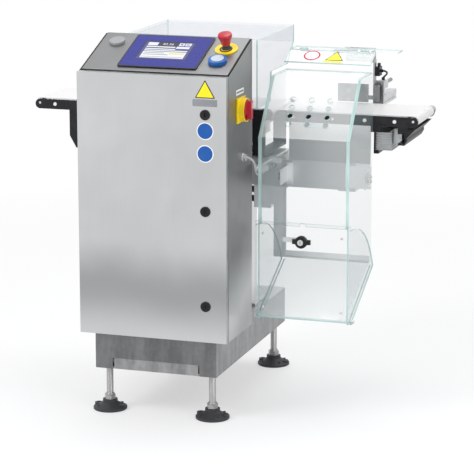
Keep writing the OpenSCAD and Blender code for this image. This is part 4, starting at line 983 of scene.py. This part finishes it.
class BuildStopRing(bpy.types.Operator):
    """Turns the dark ring that lies on the stop button's yellow disc."""

    bl_idname = "checkweigher.stop_ring"
    bl_label = "Make the stop button's ring"

    def execute(self, context):
        low, high = corners("estop_base")
        x = (low.x + high.x) / 2
        middle = CONSOLE_EDGE + Vector((x, 0, 0))
        along = ((low + high) / 2 - middle).dot(CONSOLE_UP)
        work = bmesh.new()
        profile = [(15.0, 4.0), (19.0, 4.0), (19.0, 5.0), (18.4, 5.6), (15.0, 5.6)]
        verts = [work.verts.new((radius * MM, 0, height * MM)) for radius, height in profile]
        edges = [work.edges.new(pair) for pair in zip(verts, verts[1:] + verts[:1])]
        bmesh.ops.spin(work, geom=verts + edges, cent=(0, 0, 0), axis=(0, 0, 1), dvec=(0, 0, 0),
                       angle=2 * math.pi, steps=64, use_merge=True, use_duplicate=False)
        bmesh.ops.remove_doubles(work, verts=work.verts, dist=1e-6)
        bmesh.ops.transform(work, matrix=console(x, along), verts=work.verts)
        settle(work, "stop_ring", "frame", ["pad_black"])
        return {"FINISHED"}


# The lead's fall after its bend in degrees, and its straight parts in the bend and in the sag
LEAD_STEEP = 75.0
BEND_STEPS = 6
SAG_STEPS = 12


class BuildLead(bpy.types.Operator):
    """Makes the signal lead that runs from the cabinet's gland to the cross housing."""

    bl_idname = "checkweigher.lead"
    bl_label = "Make the signal lead"

    diameter: measure("Diameter", "Lead's diameter", 6.0)
    turn: measure("Turn", "Radius of the first bend", 24.0)
    drop: measure("Drop", "How far the lead goes on downward after the bend", 50.0)
    middle_y: measure("Middle", "Place between the cabinet's gland and the housing", -93.0)

    def execute(self, context):
        gland, housing = Vector((237.0, -226.0, 765.0)), Vector((243.0, 30.0, 697.0))
        points = self.route(gland, housing)
        curve = bpy.data.curves.new("signal_lead", "CURVE")
        curve.dimensions = "3D"
        curve.bevel_depth = self.diameter / 2 * MM
        curve.bevel_resolution = 4
        curve.use_fill_caps = True
        spline = curve.splines.new("POLY")
        spline.points.add(len(points) - 1)
        for spot, point in zip(spline.points, points):
            spot.co = (*(point * MM), 1.0)
        curve.materials.append(FINISHES["cable"])
        lead = bpy.data.objects.new("signal_lead", curve)
        bpy.context.scene.collection.objects.link(lead)
        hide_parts("signal_cable")
        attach(lead, "frame")
        length = sum((b - a).length for a, b in zip(points, points[1:]))
        tuple(points[0] * MM)
        return {"FINISHED"}

    def route(self, start, end):
        """Straight out, down in a round bend, and on to the cross housing's gland."""
        steep = math.radians(LEAD_STEEP)
        out, fall = Vector((1, 0, 0)), Vector((0, math.cos(steep), -math.sin(steep)))
        points = []
        for i in range(BEND_STEPS + 1):
            angle = math.radians(90.0 * i / BEND_STEPS)
            points.append(start + self.turn * (out * math.sin(angle) + fall * (1 - math.cos(angle))))
        bend = points[-1]
        low = bend + fall * self.drop
        near = Vector((end.x, self.middle_y - self.turn, end.z))
        for i in range(1, SAG_STEPS + 1):
            t, u = i / SAG_STEPS, 1 - i / SAG_STEPS
            points.append(u ** 3 * bend + 3 * u * u * t * low + 3 * u * t * t * near + t ** 3 * end)
        return points


# The belt frames' screws: x from a frame's end and height of a row
INFEED_ROWS = ((150, 846.0), (230, 846.0))
OUTFEED_ROWS = ((60, 846.0), (180, 846.0))
LOWER_ROWS = ((150, 730.0), (240, 730.0))
# The guard's screws and its pins, by y and z
GUARD_Y, GUARD_Z = (-20.0, 12.0), (668.0, 682.0)
PIN_PLACE = (-221.0, 300.0)
# The flap's screws: x from its sides, and heights
FLAP_INSET, FLAP_Z = 26, (330.0, 548.0)
# The pusher bracket's screws: x from its end and heights in the foot, and x, y and z in the top
FOOT_X, FOOT_Z = (62, 120), (838.0, 852.0)
TOP_X, TOP_PLACE = (12, 78), (266.0, 1008.0)
# The push plate's bosses, as shares of its width and height
BOSS_ACROSS, BOSS_SHARES = 0.27, (0.15, 0.61)


class BuildFasteners(bpy.types.Operator):
    """Makes the screws, bosses, seams and the handle's mark."""

    bl_idname = "checkweigher.fasteners"
    bl_label = "Make the fasteners and trim"

    screw: measure("Screw", "Radius of a screw head", 4.0)
    sheet: measure("Sheet", "Thickness of a clear sheet", 5.0)
    foot: measure("Foot", "Thickness of the pusher bracket's foot plate", 5.0)

    def execute(self, context):
        self.frame_screws()
        self.guard_screws()
        low, high = corners("bin_flap")
        ends = (low.x + FLAP_INSET, high.x - FLAP_INSET)
        self.screws("flap_screws", "flap", [((x, low.y, z), (0, -1, 0), 1.0) for x in ends for z in FLAP_Z])
        self.plate_bosses()
        self.bracket_screws()
        self.seams()
        self.knob_mark()
        return {"FINISHED"}

    def screws(self, name, body, places):
        """One piece of screw heads, each by its place, its axis and its share of the usual size."""
        work = bmesh.new()
        for place, axis, share in places:
            add_screw(work, place, axis, self.screw * share)
        settle(work, name, body, ["steel_bright"])

    def frame_screws(self):
        """Screws along both sides of the infeed and outfeed frames."""
        infeed, (front, rear) = corners("infeed_frame")[0].x, corners("outfeed_frame")
        rows = ((infeed, INFEED_ROWS), (front.x, OUTFEED_ROWS), (infeed, LOWER_ROWS))
        self.screws("frame_screws", "frame", [
            ((end + x, y, z), (0, side, 0), 1.0) for end, row in rows for x, z in row
            for y, side in ((front.y, -1), (rear.y, 1))])

    def guard_screws(self):
        """Screws on washers through the guard's clear sheets, and the flap's pins."""
        low, high = corners("guard_front")
        washer = 0.8
        work = bmesh.new()
        for z in GUARD_Z:
            for x, side in ((low.x - self.sheet, -1), (high.x + self.sheet, 1)):
                for y in GUARD_Y:
                    add_disc(work, (x, y, z), (side, 0, 0), self.screw * 1.6, washer, 0.2)
                    add_screw(work, (x + side * washer, y, z), (side, 0, 0), self.screw)
        for end, side in zip(corners("guard_body"), (-1, 1)):
            add_screw(work, (end.x, *PIN_PLACE), (side, 0, 0), self.screw)
        settle(work, "guard_screws", "frame", ["steel_bright"])

    def plate_bosses(self):
        """Two flat bosses one over the other on the push plate's front."""
        low, high = corners("push_plate")
        x = low.x + BOSS_ACROSS * (high.x - low.x)
        work = bmesh.new()
        for share in BOSS_SHARES:
            place = (x, low.y, low.z + share * (high.z - low.z))
            add_disc(work, place, (0, -1, 0), self.screw * 2, 1.0, 0.3)
        settle(work, "plate_bosses", BODY_OF["push_plate"], ["steel_dull"])

    def bracket_screws(self):
        """Screws behind the pusher bracket's foot and in front of its top."""
        low = corners("pusher_bracket")[0].x
        foot = corners("outfeed_frame")[1].y + self.foot
        places = [((low + x, foot, z), (0, 1, 0), 0.8) for x in FOOT_X for z in FOOT_Z]
        places += [((low + x, *TOP_PLACE), (0, -1, 0), 0.9) for x in TOP_X]
        self.screws("bracket_screws", "frame", places)

    @staticmethod
    def seams():
        """The welded seams along the plinth's upper front and rear edges."""
        low, high = corners("plinth_frame")
        inset, radius = 0.4, 0.9
        work = bmesh.new()
        for y in (low.y + inset, high.y - inset):
            add_disc(work, (low.x + 1, y, high.z - inset), (1, 0, 0), radius, high.x - low.x - 2, sides=10)
        settle(work, "plinth_seams", "frame", ["steel_pale"])

    @staticmethod
    def knob_mark():
        """White mark on the isolator's handle."""
        low, high = corners("isolator_knob")
        face = plane((high.x, (low.y + high.y) / 2, high.z - 16), (0, 1, 0), (0, 0, 1))
        plates("knob_mark", "isolator", ["sign_white"], "red_plastic", (rectangle(3, 20), 0.3, face, 0, 1.0))


# The photo's camera: place in metres, tilt down and turn in degrees
CAMERA_PLACE = (2.143, -6.198, 1.9225)
CAMERA_DOWN = 12.52
CAMERA_TURN = 17.94
# Lamps by place and size in metres, and what they aim at
LAMPS = {"key": ((-2.6, -3.4, 3.6), 2.4), "fill": ((3.6, -2.2, 2.2), 2.6), "top": ((0.4, 0.8, 3.8), 2.2)}
LAMP_TARGET = Vector((0.1, 0.0, 0.6))


class BuildStage(bpy.types.Operator):
    """Makes the camera, the lights, the floor and the backdrop."""

    bl_idname = "checkweigher.stage"
    bl_label = "Make the stage"

    def execute(self, context):
        stage = context.scene.checkweigher_stage
        scene = context.scene
        camera = bpy.data.objects.new("camera", bpy.data.cameras.new("camera"))
        camera.data.lens = stage.lens
        camera.data.sensor_width = 36.0
        camera.data.clip_end = 60.0
        camera.location = CAMERA_PLACE
        camera.rotation_euler = (math.radians(90.0 - CAMERA_DOWN), 0.0, math.radians(CAMERA_TURN))
        scene.collection.objects.link(camera)
        scene.camera = camera
        for name, (place, size) in LAMPS.items():
            self.lamp(name, place, size, stage.key_power if name == "key" else stage.fill_power)
        self.ground()
        self.sky(scene, stage.sky)
        scene.view_settings.view_transform = "Standard"
        return {"FINISHED"}

    @staticmethod
    def lamp(name, place, size, power):
        """A square soft light aimed at the object's middle."""
        light = bpy.data.lights.new(name, "AREA")
        light.size = size
        light.energy = power
        holder = bpy.data.objects.new(name, light)
        holder.location = place
        holder.rotation_euler = (LAMP_TARGET - Vector(place)).to_track_quat("-Z", "Y").to_euler()
        bpy.context.scene.collection.objects.link(holder)

    @staticmethod
    def seen(tree):
        """1 where the camera, a reflection or a clear sheet looks, and 0 elsewhere."""
        rays = tree.nodes.new("ShaderNodeLightPath").outputs
        kinds = [Link(tree, rays["Is " + kind + " Ray"]) for kind in ("Camera", "Glossy", "Transmission")]
        total = kinds[0] + kinds[1] + kinds[2]
        return total.math("MINIMUM", total, 1.0)

    def sky(self, scene, strength):
        """White world that lights softly."""
        world = bpy.data.worlds.new("studio")
        world.use_nodes = True
        scene.world = world
        surface = world.node_tree.nodes["Background"]
        surface.inputs["Color"].default_value = (1, 1, 1, 1)
        power = self.seen(world.node_tree) * (1.0 - strength) + strength
        world.node_tree.links.new(power.socket, surface.inputs["Strength"])

    def ground(self):
        """A wide pale floor with a painted white glow, half of it near the object, which thins the cast
        shadow there, and all of it further out.
        """
        work = bmesh.new()
        bmesh.ops.create_grid(work, x_segments=1, y_segments=1, size=9.0)
        bmesh.ops.translate(work, verts=work.verts, vec=(0, 0, -0.0004))
        mesh = bpy.data.meshes.new("floor")
        work.to_mesh(mesh)
        work.free()
        finish = Finish("floor", (0.86, 0.87, 0.88), roughness=0.6)
        finish.feed("Roughness", finish.noise(3.0) * 0.1 + 0.5)
        distance = finish.node("ShaderNodeVectorMath", {"operation": "LENGTH"}, "Value", in_0=finish.place)
        near, far = 1.3, 3.2
        # Painted light: the white glow's share, half near the object and whole from far on, thins the
        # floor's shadow
        pale = (finish.ramp(distance, near, far) * 0.5 + 0.5) * self.seen(finish.tree)
        glow = finish.node("ShaderNodeEmission", out="Emission", Color=(1, 1, 1, 1), Strength=1.0)
        plain = Link(finish.tree, finish.surface.outputs[0])
        joined = finish.node("ShaderNodeMixShader", in_0=pale, in_1=plain, in_2=glow)
        finish.tree.links.new(joined.socket, finish.tree.nodes["Material Output"].inputs["Surface"])
        mesh.materials.append(finish.material)
        floor = bpy.data.objects.new("floor", mesh)
        bpy.context.scene.collection.objects.link(floor)


STEPS = (BuildFinishes, BuildDressedNodes, BuildClearSheets, BuildSigns, BuildScreen, BuildStopRing,
         BuildLead, BuildFasteners, BuildStage)


class CheckweigherPanel(bpy.types.Panel):
    """Lists the building steps and their sizes."""

    bl_idname = "VIEW3D_PT_checkweigher"
    bl_label = "Checkweigher"
    bl_space_type = "VIEW_3D"
    bl_region_type = "UI"
    bl_category = "Checkweigher"

    def draw(self, context):
        for group in ("checkweigher_finishes", "checkweigher_signs", "checkweigher_stage"):
            holder = getattr(context.scene, group)
            box = self.layout.box()
            for name in holder.__annotations__:
                box.prop(holder, name)
        for step in STEPS:
            self.layout.operator(step.bl_idname)


GROUPS = {
    "checkweigher_finishes": CheckweigherFinishes,
    "checkweigher_signs": CheckweigherSigns,
    "checkweigher_stage": CheckweigherStage,
}


def register():
    """Registers the groups, the steps and the panel."""
    for name, group in GROUPS.items():
        bpy.utils.register_class(group)
        setattr(bpy.types.Scene, name, bpy.props.PointerProperty(type=group))
    for step in STEPS:
        bpy.utils.register_class(step)
    bpy.utils.register_class(CheckweigherPanel)


def unregister():
    """Takes everything back out."""
    bpy.utils.unregister_class(CheckweigherPanel)
    for step in reversed(STEPS):
        bpy.utils.unregister_class(step)
    for name, group in GROUPS.items():
        delattr(bpy.types.Scene, name)
        bpy.utils.unregister_class(group)


def main():
    """Builds the whole scene."""
    register()
    for step in STEPS:
        family, action = step.bl_idname.split(".")
        getattr(getattr(bpy.ops, family), action)()


if __name__ == "__main__":
    main()
